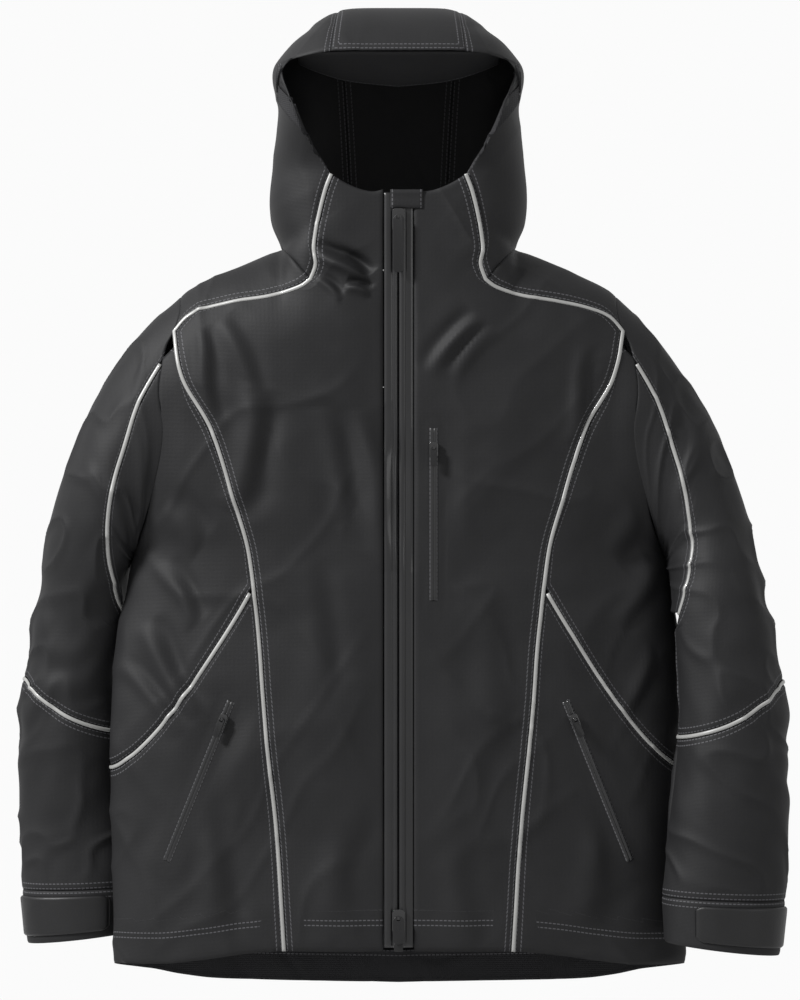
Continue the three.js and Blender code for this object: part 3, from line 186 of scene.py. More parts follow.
def noise(x: Array, y: Array, scale: float, seed: int) -> Array:
    """Smooth random values between -1 and 1, the same on every run.

    Random values stand on a square lattice and are blended with a smooth step between its points.

    Args:
        x, y: coordinates in millimetres.
        scale: the lattice spacing.
        seed: picks the lattice.

    Returns:
        One value for each point.
    """
    size = 256
    lattice = np.random.default_rng(seed).uniform(-1, 1, (size, size))
    u, v = x / scale + 97.3, y / scale + 61.7
    i, j = np.floor(u).astype(int), np.floor(v).astype(int)
    s, t = u - i, v - j
    s, t = s * s * (3 - 2 * s), t * t * (3 - 2 * t)
    i, j = i % size, j % size
    k, m = (i + 1) % size, (j + 1) % size
    return mix(mix(lattice[i, j], lattice[k, j], s), mix(lattice[i, m], lattice[k, m], s), t)


def segment_distance(x: Array, z: Array, start: tuple[float, float],
                     end: tuple[float, float]) -> Array:
    """Returns the distance on the pattern from each point to a straight run."""
    run_x, run_z = end[0] - start[0], end[1] - start[1]
    share = np.clip(((x - start[0]) * run_x + (z - start[1]) * run_z) / (run_x**2 + run_z**2), 0, 1)
    return np.hypot(x - start[0] - share * run_x, z - start[1] - share * run_z)


@dataclass(frozen=True)
class Fold:
    """A crease in cloth: a rounded ridge from one point to another, with a valley beside it."""

    start: tuple[float, float]
    end: tuple[float, float]
    width: float
    height: float
    valley: float = 0.8  # depth of the valley as a share of the ridge's height
    bow: float = 0.06  # how far the line bows sideways, as a share of its length

    def lift(self, x: Array, z: Array) -> Array:
        """How far the fold lifts each point.

        The ridge is a bell curve across the line, and the valley another one 1.5 widths to its
        left; both fade towards the fold's two ends.

        Args:
            x, z: pattern coordinates.

        Returns:
            Millimetres along the normal.
        """
        (x0, z0), (x1, z1) = self.start, self.end
        dx, dz = x1 - x0, z1 - z0
        length = math.hypot(dx, dz)
        along = ((x - x0) * dx + (z - z0) * dz) / length**2
        across = ((x - x0) * -dz + (z - z0) * dx) / length
        across = across - self.bow * length * np.sin(math.pi * np.clip(along, 0, 1))
        fade = np.clip(4 * along * (1 - along), 0, 1) ** 0.75
        ridge = np.exp(-((across / self.width) ** 2))
        hollow = np.exp(-(((across - 1.5 * self.width) / (0.9 * self.width)) ** 2))
        return self.height * fade * (ridge - self.valley * hollow)


# ------------------------------------------------------------------ the jacket's form


@dataclass
class Form:
    """The jacket's shape: the outline of each part and the depth in front of and behind it.

    Depths are millimetres forward of or behind the outline in the middle, and a power says how
    square the form is across.
    """

    collar_depth: float = 78.0
    hem_depth: float = 60.0
    visor_reach: float = 118.0
    hood_back: float = 82.0
    body_power: float = 2.6
    hood_power: float = 5.0
    shoulder_round: float = 95.0
    front_gather: float = 1.7  # how strongly the named folds of the front and of the back show
    back_gather: float = 1.3
    underarm_swell: float = 4.5
    front_folds: list[Fold] = field(default_factory=list)
    back_folds: list[Fold] = field(default_factory=list)

    def __post_init__(self) -> None:
        """Sets up the outline profiles."""
        self.body_half = hermite([
            (90, 330), (-50, 330), (-120, 327), (-170, 318), (-210, 303), (-240, 287), (-262, 274),
            (PIT, 262), (-331, 272.5), (-381, 281), (-425, 284.5), (-478, 285.5), (-760, 285.5)])
        self.hood_half = hermite([
            (-60, 112), (-22, 114), (12, 117), (37, 125.5), (65, 128), (97, 125), (130, 121.5),
            (152, 119.5), (165, 122), (180, 125), (192, 124), (203, 117), (217, 105), (228, 91),
            (235, 84), (242, 74), (249, 61), (253, 48)])
        self.armhole_half = hermite([
            (-35, 217.5), (-50, 217), (-70, 222), (-86, 230), (-111, 235), (-135, 236.5), (-164, 232),
            (-191, 234), (-218, 240), (-254, 250), (PIT, 262)])
        self.shoulder_line = hermite([
            (0, 82), (60, 46), (117, 12), (128.5, 8), (156.5, -4), (188, -17.5), (209, -28), (217.5, -35),
            (238, -52), (255, -71), (276.5, -94), (300, -125), (340, -200)])
        self.hem_height = hermite([
            (0, -683), (23, -683), (33, -687), (42, -692.5), (55, -698), (90, -701), (119, -709),
            (130, -716), (139, -720.5), (153, -723), (180, -726)])
        self.body_back = hermite([
            (60, 66), (0, 62), (-100, 66), (PIT, 62), (-450, 53), (FRONT_HEM, 50), (-760, 50)])

    def front_depth(self, z: Array) -> Array:
        """Returns how far the middle of the front stands forward of the outline at a height."""
        line = self.collar_depth + (z - 70) * (self.collar_depth - self.hem_depth) / 753
        return mix(line, self.visor_reach, smoothstep(z, 84, BROW)) * self.dome(z, BROW)

    def back_depth(self, z: Array) -> Array:
        """Returns how far the middle of the back stands behind the outline at a height."""
        return mix(self.body_back(z), self.hood_back, smoothstep(z, 0, NAPE)) * self.dome(z, NAPE)

    @staticmethod
    def dome(z: Array, start: float) -> Array:
        """Returns the share left of a depth as the hood closes in a quarter ellipse to its crown."""
        return np.sqrt(np.maximum(1 - np.maximum((z - start) / (CROWN - start), 0) ** 2, 0))

    def depth_share(self, x: Array, z: Array) -> Array:
        """The share of the full depth at a point: 1 in the middle, 0 on the outline.

        The body's share is a superellipse across, times a quarter circle below the shoulder line;
        the hood's is a squarer superellipse. They combine as 1 - (1 - body)(1 - hood).
        """
        drop = np.clip((self.shoulder_line(np.abs(x)) - z) / self.shoulder_round, 0, 1)
        wide = np.maximum(1 - np.abs(x / self.body_half(z)) ** self.body_power, 0)
        body = np.sqrt(wide * (1 - (1 - drop) ** 2))
        hood = np.sqrt(np.maximum(1 - np.abs(x / self.hood_half(z)) ** self.hood_power, 0))
        return 1 - (1 - body) * (1 - hood * smoothstep(z, -60, 12))

    def around(self, half: Callable[[Array], Array], chart: Array) -> Array:
        """Where chart points lie: x is half the outline's width times the sine of the angle."""
        angle, z = chart[..., 0], chart[..., 1]
        x = half(z) * np.sin(np.radians(angle))
        turned = np.abs(angle) % 360
        front = (turned < 90) | (turned > 270)
        depth = np.where(front, -self.front_depth(z), self.back_depth(z)) * self.depth_share(x, z)
        depth = np.where(np.isclose(turned, 90) | np.isclose(turned, 270), 0, depth)
        return np.stack([x, depth, z], axis=-1)

    def on_body(self, chart: Array) -> Array:
        """Returns places on the body."""
        return self.around(self.body_half, chart)

    def on_hood(self, chart: Array) -> Array:
        """Returns places on the hood."""
        return self.around(self.hood_half, chart)

    def angle(self, half: Callable[[Array], Array], points: Array, back: bool = False) -> Array:
        """Returns chart points for pattern points, on the front or on the back."""
        turn = np.degrees(np.arcsin(np.clip(points[..., 0] / half(points[..., 1]), -1, 1)))
        return np.stack([180 - turn if back else turn, points[..., 1]], axis=-1)

    def body_chart(self, points: Array, back: bool = False) -> Array:
        """Returns body chart points for pattern points."""
        return self.angle(self.body_half, points, back)

    def hood_chart(self, points: Array, back: bool = False) -> Array:
        """Returns hood chart points for pattern points."""
        return self.angle(self.hood_half, points, back)

    def folds(self, x: Array, z: Array, front: Array) -> Array:
        """Waves, creases and named folds of the body and hood, before any of them fades.

        Waves are broad noise. Creases are sharp ridges where a noise crosses zero; two sets of them
        cross at a slant, on coordinates that more noise has warped so that they wander. Named folds
        lie where the cloth gathers. Front and back have their own waves and named folds.

        Args:
            x, z: pattern coordinates.
            front: 1 on the front and 0 on the back, with a smooth step at the outline.

        Returns:
            Millimetres along the normal.
        """
        waves = 3.6 * noise(x, z, 125, 3) + 2.0 * noise(x + 0.4 * z, z - 0.4 * x, 56, 5)
        warp_x, warp_z = x + 16 * noise(x, z, 70, 14), z + 22 * noise(x, z, 64, 15)
        ridged = 1 - 2.3 * np.abs(noise(warp_x + 0.5 * warp_z, warp_z * 0.55, 58, 8))
        crossed = 1 - 2.6 * np.abs(noise(warp_x - 0.7 * warp_z, warp_z * 0.5, 66, 9))
        creases = 1.7 * np.maximum(ridged, 0) ** 2.5 + 1.2 * np.maximum(crossed, 0) ** 3
        creases = creases + 0.3 * noise(x, z, 17, 12)
        back_x = x + 700  # another part of the lattice, so that the back doesn't repeat the front
        back_waves = 3.0 * noise(back_x, z * 0.5, 110, 21) + 1.3 * noise(back_x + 0.3 * z, z, 48, 22)
        named = self.front_gather * sum(
            (fold.lift(warp_x, warp_z) for fold in self.front_folds), np.zeros_like(x))
        behind = self.back_gather * sum(
            (fold.lift(warp_x, warp_z) for fold in self.back_folds), np.zeros_like(x))
        zip_calm = smoothstep(np.abs(x - 2), 14, 60)
        ahead = zip_calm * (waves + creases) + named
        return front * ahead + (1 - front) * (back_waves + creases + behind)

    @staticmethod
    def pocket_zip_distance(x: Array, z: Array) -> Array:
        """Returns the distance on the pattern to the nearest pocket zip."""
        left = np.minimum(segment_distance(x, z, *CHEST_ZIP), segment_distance(x, z, *HAND_ZIP_LEFT))
        return np.minimum(left, segment_distance(-x, z, *HAND_ZIP_LEFT))

    def drape(self, place: Array) -> Array:
        """How far the cloth of the body and hood stands off its smooth form.

        The folds die away at the shoulder line, at the armhole, towards the crown and beside the
        pocket zips, and are lower on the hood. A shallow welt runs round each pocket zip, and the
        cloth swells a little under the arm, so that body and sleeve meet there.

        Args:
            place: places on the form.

        Returns:
            Millimetres along the normal.
        """
        x, y, z = place[..., 0], place[..., 1], place[..., 2]
        front = smoothstep(-y, -4, 14)
        by_shoulder = smoothstep(z, -110, -60) * (1 - smoothstep(z, 10, 40))
        by_armhole = smoothstep(self.armhole_half(z) - np.abs(x), 0, 24)
        lift = self.folds(x, z, front) * mix(1.0, smoothstep(np.abs(y), 1, 20), by_shoulder)
        lift = lift * np.where(z > 0, 1.0, mix(by_armhole, 1.0, smoothstep(PIT - z, -14, 20)))
        hood_calm = mix(1.0, 0.45, smoothstep(z, 20, 90))
        zips = self.pocket_zip_distance(x, z)
        calm = mix(1.0, smoothstep(zips, 9, 34), front)
        welt = front * 0.5 * np.exp(-(((zips - 10.5) / 1.1) ** 2)) * (np.abs(x) > PLACKET + 1)
        underarm = self.underarm_swell * np.exp(-(((z - PIT + 15) / 20) ** 2) - (y / 26) ** 2)
        return lift * hood_calm * smoothstep(CROWN - z, 0, 6) * calm - welt + underarm


def normals_of(surface: Surface, chart: Array, step: tuple[float, float]) -> Array:
    """Unit normals of a surface, from the places a small step away on either side.

    Args:
        surface: chart to places.
        chart: chart points.
        step: the two small steps.

    Returns:
        One unit vector for each point, not yet turned outwards.
    """
    first, second = np.array([step[0], 0.0]), np.array([0.0, step[1]])
    across = surface(chart + first) - surface(chart - first)
    down = surface(chart + second) - surface(chart - second)
    normal = np.cross(across, down)
    return normal / np.maximum(np.linalg.norm(normal, axis=-1, keepdims=True), 1e-9)


# ------------------------------------------------------------------ seams of the pattern

# Points of each seam on the wearer's left, as (distance from the middle, height)
NECK_EDGE = [(66, 82), (72, 66), (78, 42), (83, 12), (81, -6), (86, -21)]
YOKE_EDGE = [(86, -21), (98, -29), (126, -37), (156, -42), (188, -49), (209, -57), (222, -71)]
PRINCESS_UPPER = [(222, -71), (212, -119), (184, -169), (160, -244), (149, -283), (143, -324)]
PRINCESS_LOWER = [(143, -324), (137, -385), (134, -425), (129, -480), (120, -570), (113, FRONT_HEM)]
COLLAR_TOP = [(PLACKET, COLLAR_EDGE), (25, 65), (38, 67.5), (52, 73.5), (66, 82)]
SHOULDER_EDGE = [(117, 12), (156.5, -4), (188, -17.5), (217.5, -35)]
BACK_NECK = [(0, -5), (45, -4), (90, 2), (117, 12)]
RIM_EDGE = [(118, 191), (117.5, 172), (115, 152), (105, 136), (93, 123), (84, 107), (74, 94), (66, 82)]
# Grid steps along each run of a panel's edge
NECK_STEPS, YOKE_STEPS, UPPER_STEPS, LOWER_STEPS = 5 * FINE, 6 * FINE, 9 * FINE, 7 * FINE
SIDE_STEPS, ARMHOLE_STEPS, UNDERARM_STEPS = 7 * FINE, 5 * FINE, 4 * FINE
SIDE_SEAM_TURN = -505.0  # the piped side seam meets the side here
SIDE_SEAM_END = -701.0
BACK_YOKE = -112.0  # the back yoke's seam at the armhole
BRIM_EDGE = 201.0
CENTRE_HALF = 45.0  # half the hood centre panel's width at the neck
BODY_STEP = (0.35, 0.5)  # small steps of angle and height by which the body's normals are taken


def coons(left: Array, right: Array, top: Array, bottom: Array, spacing: Array) -> Array:
    """Fills the space between four edges that share their corners.

    Each point is the blend of the two side edges plus the blend of the top and bottom edges, less
    the blend of the four corners.

    Args:
        left, right: the side edges, from the top down.
        top, bottom: the other two, from left to right.
        spacing: how far across each column stands.

    Returns:
        A grid of points.
    """
    v = np.linspace(0, 1, len(left))[:, None, None]
    u = spacing[None, :, None]
    sides = mix(left[:, None], right[:, None], u)
    ends = mix(top[None], bottom[None], v)
    corners = mix(mix(left[0], right[0], u), mix(left[-1], right[-1], u), v)
    return sides + ends - corners


def relaxed(grid: Array, rounds: int) -> Array:
    """Evens out the inside of a grid, each point moved to the mean of its four neighbours.

    Args:
        grid: the grid, whose edges stay where they are.
        rounds: how many times.

    Returns:
        The evened grid.
    """
    grid = grid.copy()
    for _ in range(rounds):
        beside = grid[1:-1, :-2] + grid[1:-1, 2:]
        grid[1:-1, 1:-1] = (grid[:-2, 1:-1] + grid[2:, 1:-1] + beside) / 4
    return grid


def column(x: float | Array, heights: Array) -> Array:
    """Returns points at one distance (or several) and a run of heights."""
    return np.stack([np.broadcast_to(x, heights.shape), heights], axis=-1)


def steps(start: float, end: float, count: int) -> Array:
    """Returns count + 1 equal steps from start to end."""
    return np.linspace(start, end, count + 1)


def lengths(place: Array, axis: int) -> Array:
    """Returns the length reached along one axis of a grid of places, from its first point."""
    steps_long = np.linalg.norm(np.diff(place, axis=axis), axis=-1)
    first = np.zeros_like(np.take(steps_long, [0], axis=axis))
    return np.cumsum(np.concatenate([first, steps_long], axis=axis), axis=axis)


def sample(grid: Array, row: Array, col: Array) -> Array:
    """Returns a grid's values at fractional rows and columns, blended from the four around."""
    i = np.clip(row.astype(int), 0, grid.shape[0] - 2)
    j = np.clip(col.astype(int), 0, grid.shape[1] - 2)
    s, t = (row - i)[..., None], (col - j)[..., None]
    upper = mix(grid[i, j], grid[i, j + 1], t)
    return mix(upper, mix(grid[i + 1, j], grid[i + 1, j + 1], t), s)


@dataclass(frozen=True)
class Edges:
    """How far a panel's four edges stand back from their seams, and which of them are stitched."""

    left: float = 0.15
    right: float = 0.15
    top: float = 0.15
    bottom: float = 0.15
    stitched: str = ""


PIPED = 1.5  # how far a panel stands back from a piped seam, hidden under the piping
HEM_STITCH = (126.0, 131.0)  # a hem's distances are counted from 100, so that it has its own stitches


def trimmed(chart: Array, place: Array, edges: Edges) -> Array:
    """Draws a chart in from its seams by the set distances.

    Each row's and column's length gives the share to leave out at its two ends, at most a fifth.

    Args:
        chart: the whole chart, or any grid of values to be cut in the same way.
        place: where its points lie.
        edges: the distances.

    Returns:
        The chart's values drawn in.
    """
    rows, cols = place.shape[:2]
    wide = np.maximum(lengths(place, 1)[:, -1], 1)[:, None]
    tall = np.maximum(lengths(place, 0)[-1], 1)[None, :]
    u, v = np.linspace(0, 1, cols)[None, :], np.linspace(0, 1, rows)[:, None]
    across = mix(np.minimum(edges.left / wide, 0.2), 1 - np.minimum(edges.right / wide, 0.2), u)
    down = mix(np.minimum(edges.top / tall, 0.2), 1 - np.minimum(edges.bottom / tall, 0.2), v)
    return sample(chart, down * (rows - 1), across * (cols - 1))


@dataclass
class Cloth:
    """A grid of cloth ready to become a mesh: its places, normals and the distance to a seam."""

    place: Array
    normal: Array
    seam: Array  # distance to the nearest stitched edge
    along: Array  # length along that edge


def seam_fields(place: Array, stitched: str) -> tuple[Array, Array, Array]:
    """Distances over a panel.

    Args:
        place: the panel's places.
        stitched: the stitched edges' initials, out of l, r, t and b, with h for a hem at the bottom.

    Returns:
        The distance to the nearest edge of any kind, the distance to the nearest stitched edge, and
        the length along that one.
    """
    across, down = lengths(place, 1), lengths(place, 0)
    gaps = {"l": across, "r": across[:, -1:] - across, "t": down, "b": down[-1:] - down}
    nearest = np.minimum.reduce(list(gaps.values()))
    seam, along = np.full_like(nearest, 90.0), np.zeros_like(nearest)
    hem = ("h" in stitched) & (gaps["b"] < 45)
    seam = np.where(hem, gaps["b"] + 100, seam)
    along = np.where(hem, across, along)
    for letter in stitched.replace("h", ""):
        closer = gaps[letter] < np.where(seam > 100, 20, seam)
        along = np.where(closer, down if letter in "lr" else across, along)
        seam = np.where(closer, gaps[letter], seam)
    return nearest, seam, along


def finish_cloth(place: Array, normal: Array, lift: Array, stitched: str, pucker: float) -> Cloth:
    """Moves a panel's places off its form and turns its edges down into their seams.

    The edges dip in a bell curve 1.7 mm wide. Puckers are short waves along each stitched edge
    that die away over 9 mm.

    Args:
        place: places on the smooth form.
        normal: unit normals, outwards.
        lift: millimetres along the normal.
        stitched: initials of the stitched edges.
        pucker: height of the puckers.

    Returns:
        The cloth.
    """
    nearest, seam, along = seam_fields(place, stitched)
    wave = np.sin(2 * math.pi * along / 10.5 + 2.4 * noise(along, seam * 0, 23, 31))
    strength = 0.5 + 0.5 * noise(along, seam * 0, 60, 33)
    ripple = pucker * wave * strength * np.exp(-seam / 9)
    dip = 0.9 * np.exp(-((nearest / 1.7) ** 2))
    moved = place + normal * (lift + ripple - dip)[..., None]
    return Cloth(moved, normal, seam, along)


# ------------------------------------------------------------------ meshes


def origin_shift(form: Form) -> Array:
    """Where the pattern's origin stands in the part's frame, in millimetres.

    The part's origin is the middle of the hang loop, whose height and depth follow from the neck.
    """
    height = np.array([-21.0])
    seat = form.back_depth(height) * form.depth_share(np.zeros(1), height) - 3.0
    return np.array([0.0, -(float(seat[0]) - 15.0), 21.0])


FORM = Form(
    front_folds=[
        Fold((-72, 2), (-26, -30), 7, 5.5, 1.0), Fold((-50, -32), (-18, -47), 5, 3.2, 0.9),
        Fold((-84, -18), (-58, -44), 5, 2.0), Fold((-192, -60), (-180, -168), 9, 2.6),
        Fold((-164, -56), (-128, -132), 8, 1.9),
        Fold((-128, -120), (-170, -238), 13, 3.4),
        Fold((-34, -146), (-2, -300), 13, 3.4), Fold((-70, -150), (-52, -250), 12, 1.8),
        Fold((38, -128), (74, -64), 8, 2.8), Fold((62, -132), (92, -70), 7, 1.8),
        Fold((-252, -372), (-196, -446), 9, 3.0), Fold((-262, -412), (-214, -470), 8, 2.2),
        Fold((-244, -300), (-196, -372), 10, 2.6), Fold((250, -300), (204, -366), 10, 2.4),
        Fold((262, -392), (214, -452), 9, 2.4), Fold((190, -84), (176, -168), 8, 2.0),
        Fold((-110, -300), (-84, -440), 16, 1.8), Fold((84, -330), (66, -520), 16, 1.6),
        Fold((-206, -540), (-190, -668), 14, 2.6), Fold((-60, -520), (-70, -676), 15, 1.8),
        Fold((196, -540), (186, -676), 14, 2.2), Fold((62, -560), (58, -676), 14, 1.4),
        Fold((-244, -250), (-200, -282), 15, 2.4), Fold((246, -262), (200, -290), 15, 2.2)],
    back_folds=[
        Fold((-150, -60), (-60, -190), 14, 4.0), Fold((150, -60), (60, -190), 14, 4.0),
        Fold((-210, -150), (-120, -330), 18, 4.5), Fold((210, -150), (130, -320), 18, 4.2),
        Fold((-90, -360), (-110, -660), 22, 4.0), Fold((40, -380), (20, -700), 24, 3.4),
        Fold((150, -420), (170, -690), 20, 3.6), Fold((-240, -420), (-190, -520), 14, 3.4)])
SHIFT = origin_shift(FORM)


def to_frame(place: Array) -> Array:
    """Returns pattern places as metres in the part's frame."""
    return (place + SHIFT) * MM


def grid_faces(rows: int, cols: int, first: int = 0) -> Array:
    """Returns the four-cornered faces of a grid of vertices numbered row by row from first."""
    corner = first + np.arange(rows * cols).reshape(rows, cols)
    around = [corner[:-1, :-1], corner[1:, :-1], corner[1:, 1:], corner[:-1, 1:]]
    return np.stack(around, axis=-1).reshape(-1, 4)


def make_mesh(name: str, verts: Array, faces: Array, uv: Array | None = None) -> bpy.types.Object:
    """A smooth mesh object at the origin.

    Args:
        name: the object's name.
        verts: vertices in metres.
        faces: four vertex numbers for each face.
        uv: two values for each vertex, kept as the UV map.

    Returns:
        The object, linked to the scene.
    """
    mesh = bpy.data.meshes.new(name)
    mesh.vertices.add(len(verts))
    mesh.vertices.foreach_set("co", verts.astype(np.float32).ravel())
    mesh.loops.add(faces.size)
    mesh.loops.foreach_set("vertex_index", faces.astype(np.int32).ravel())
    mesh.polygons.add(len(faces))
    mesh.polygons.foreach_set("loop_start", np.arange(0, faces.size, 4, dtype=np.int32))
    mesh.update(calc_edges=True)
    mesh.polygons.foreach_set("use_smooth", np.ones(len(faces), bool))
    if uv is not None:
        layer = mesh.uv_layers.new(name="UVMap")
        layer.data.foreach_set("uv", uv[faces.ravel()].astype(np.float32).ravel())
    mesh.validate()
    obj = bpy.data.objects.new(name, mesh)
    bpy.context.scene.collection.objects.link(obj)
    return obj


def volume_sign(verts: Array, faces: Array) -> float:
    """Returns the sign of the volume that closed faces enclose."""
    a, b, c, d = (verts[faces[:, k]] for k in range(4))
    once = np.einsum("ij,ij->i", a, np.cross(b, c)) + np.einsum("ij,ij->i", a, np.cross(c, d))
    return float(np.sign(once.sum()))


def shell_mesh(name: str, outer: Array, inner: Array, uv: Array) -> bpy.types.Object:
    """Closes the space between two grids with a rim, as the two faces of a sheet.

    Args:
        name: the object's name.
        outer, inner: the two grids of places, in pattern millimetres.
        uv: two values for each point of a grid.

    Returns:
        The object. Its inner face has material index 1.
    """
    rows, cols = outer.shape[:2]
    count = rows * cols
    verts = to_frame(np.vstack([outer.reshape(-1, 3), inner.reshape(-1, 3)]))
    front, back = grid_faces(rows, cols), grid_faces(rows, cols, count)[:, ::-1]
    corner = np.arange(count).reshape(rows, cols)
    ring = np.concatenate([corner[0, :-1], corner[:-1, -1], corner[-1, :0:-1], corner[:0:-1, 0]])
    after = np.roll(ring, -1)
    rim = np.stack([ring, after, after + count, ring + count], axis=-1)
    faces = np.vstack([front, back, rim])
    if volume_sign(verts, faces) < 0:
        faces = faces[:, ::-1]
    flat = uv.reshape(-1, 2)
    obj = make_mesh(name, verts, faces, np.vstack([flat, flat]))
    index = np.concatenate([np.zeros(len(front)), np.ones(len(back)), np.zeros(len(rim))])
    obj.data.polygons.foreach_set("material_index", index.astype(np.int32))
    return obj


def cloth_mesh(name: str, cloth: Cloth, thickness: float) -> bpy.types.Object:
    """Returns a sheet of cloth of one thickness, its outer face at the cloth's places."""
    uv = np.stack([cloth.seam * MM, cloth.along * MM], axis=-1)
    return shell_mesh(name, cloth.place, cloth.place - cloth.normal * thickness, uv)


def swept(name: str, path: Array, normal: Array, profile: Array) -> bpy.types.Object:
    """Carries a closed profile along a path and closes its two ends.

    Args:
        name: the object's name.
        path: points of the path, in pattern millimetres.
        normal: the outward direction at each.
        profile: (across, outwards) points of the profile, an even number of them.

    Returns:
        The object, with its UV map in metres round and along.
    """
    tangent = np.gradient(path, axis=0)
    tangent /= np.linalg.norm(tangent, axis=-1, keepdims=True)
    across = np.cross(tangent, normal)
    across /= np.linalg.norm(across, axis=-1, keepdims=True)
    up = np.cross(across, tangent)
    rings = (path[:, None] + across[:, None] * profile[None, :, :1]
             + up[:, None] * profile[None, :, 1:])
    count, sides = rings.shape[:2]
    number = np.arange(count * sides).reshape(count, sides)
    beside = np.roll(number, -1, axis=1)
    walls = np.stack([number[:-1], number[1:], beside[1:], beside[:-1]], axis=-1).reshape(-1, 4)
    half = sides // 2
    a = np.arange(half - 1)
    cap = np.stack([a, a + 1, sides - 2 - a, sides - 1 - a], axis=-1)
    faces = np.vstack([walls, cap, cap[:, ::-1] + (count - 1) * sides])
    verts = to_frame(rings.reshape(-1, 3))
    if volume_sign(verts, faces) < 0:
        faces = faces[:, ::-1]
    reach, turn = lengths(path[:, None], 0), np.linspace(0, 0.01, sides)[None, :]
    uv = np.stack(np.broadcast_arrays(turn, reach * MM), axis=-1)
    return make_mesh(name, verts, faces, uv.reshape(-1, 2))


def oval(width: float, low: float, high: float, points: int = 12) -> Array:
    """Returns the points of an oval profile, width across and from low to high."""
    turn = np.linspace(0, 2 * math.pi, points, endpoint=False)
    outwards = (low + high) / 2 + (high - low) / 2 * np.sin(turn)
    return np.stack([width / 2 * np.cos(turn), outwards], axis=-1)


CORD = oval(3.9, -1.2, 1.15)  # the piping, sunk by half into its seam


def slab(width: float, low: float, high: float, corner: float) -> Array:
    """Returns the points of a flat profile with rounded corners."""
    turn = np.linspace(0, 2 * math.pi, 16, endpoint=False) + math.pi / 16
    x, y = np.cos(turn), np.sin(turn)
    across = np.sign(x) * (width / 2 - corner) + corner * x
    outwards = (low + high) / 2 + ((high - low) / 2 - corner) * np.sign(y) + corner * y
    return np.stack([across, outwards], axis=-1)


# ------------------------------------------------------------------ materials


def linear(code: str) -> tuple[float, float, float, float]:
    """Returns an sRGB hex colour such as "#38393b" as linear red, green, blue and alpha."""
    parts = [int(code[k:k + 2], 16) / 255 for k in (1, 3, 5)]
    turned = [c / 12.92 if c <= 0.04045 else ((c + 0.055) / 1.055) ** 2.4 for c in parts]
    return (*turned, 1.0)


def add_node(tree: bpy.types.NodeTree, kind: str, settings: dict | None = None,
             links: dict | None = None) -> bpy.types.Node:
    """Adds one node.

    Args:
        tree: the material's tree.
        kind: Blender's name for the node, without "ShaderNode".
        settings: properties to set.
        links: input name or number to a value or another node's output.

    Returns:
        The node.
    """
    made = tree.nodes.new("ShaderNode" + kind)
    for key, value in (settings or {}).items():
        setattr(made, key, value)
    for key, value in (links or {}).items():
        if isinstance(value, bpy.types.NodeSocket):
            tree.links.new(value, made.inputs[key])
        else:
            made.inputs[key].default_value = value
    return made


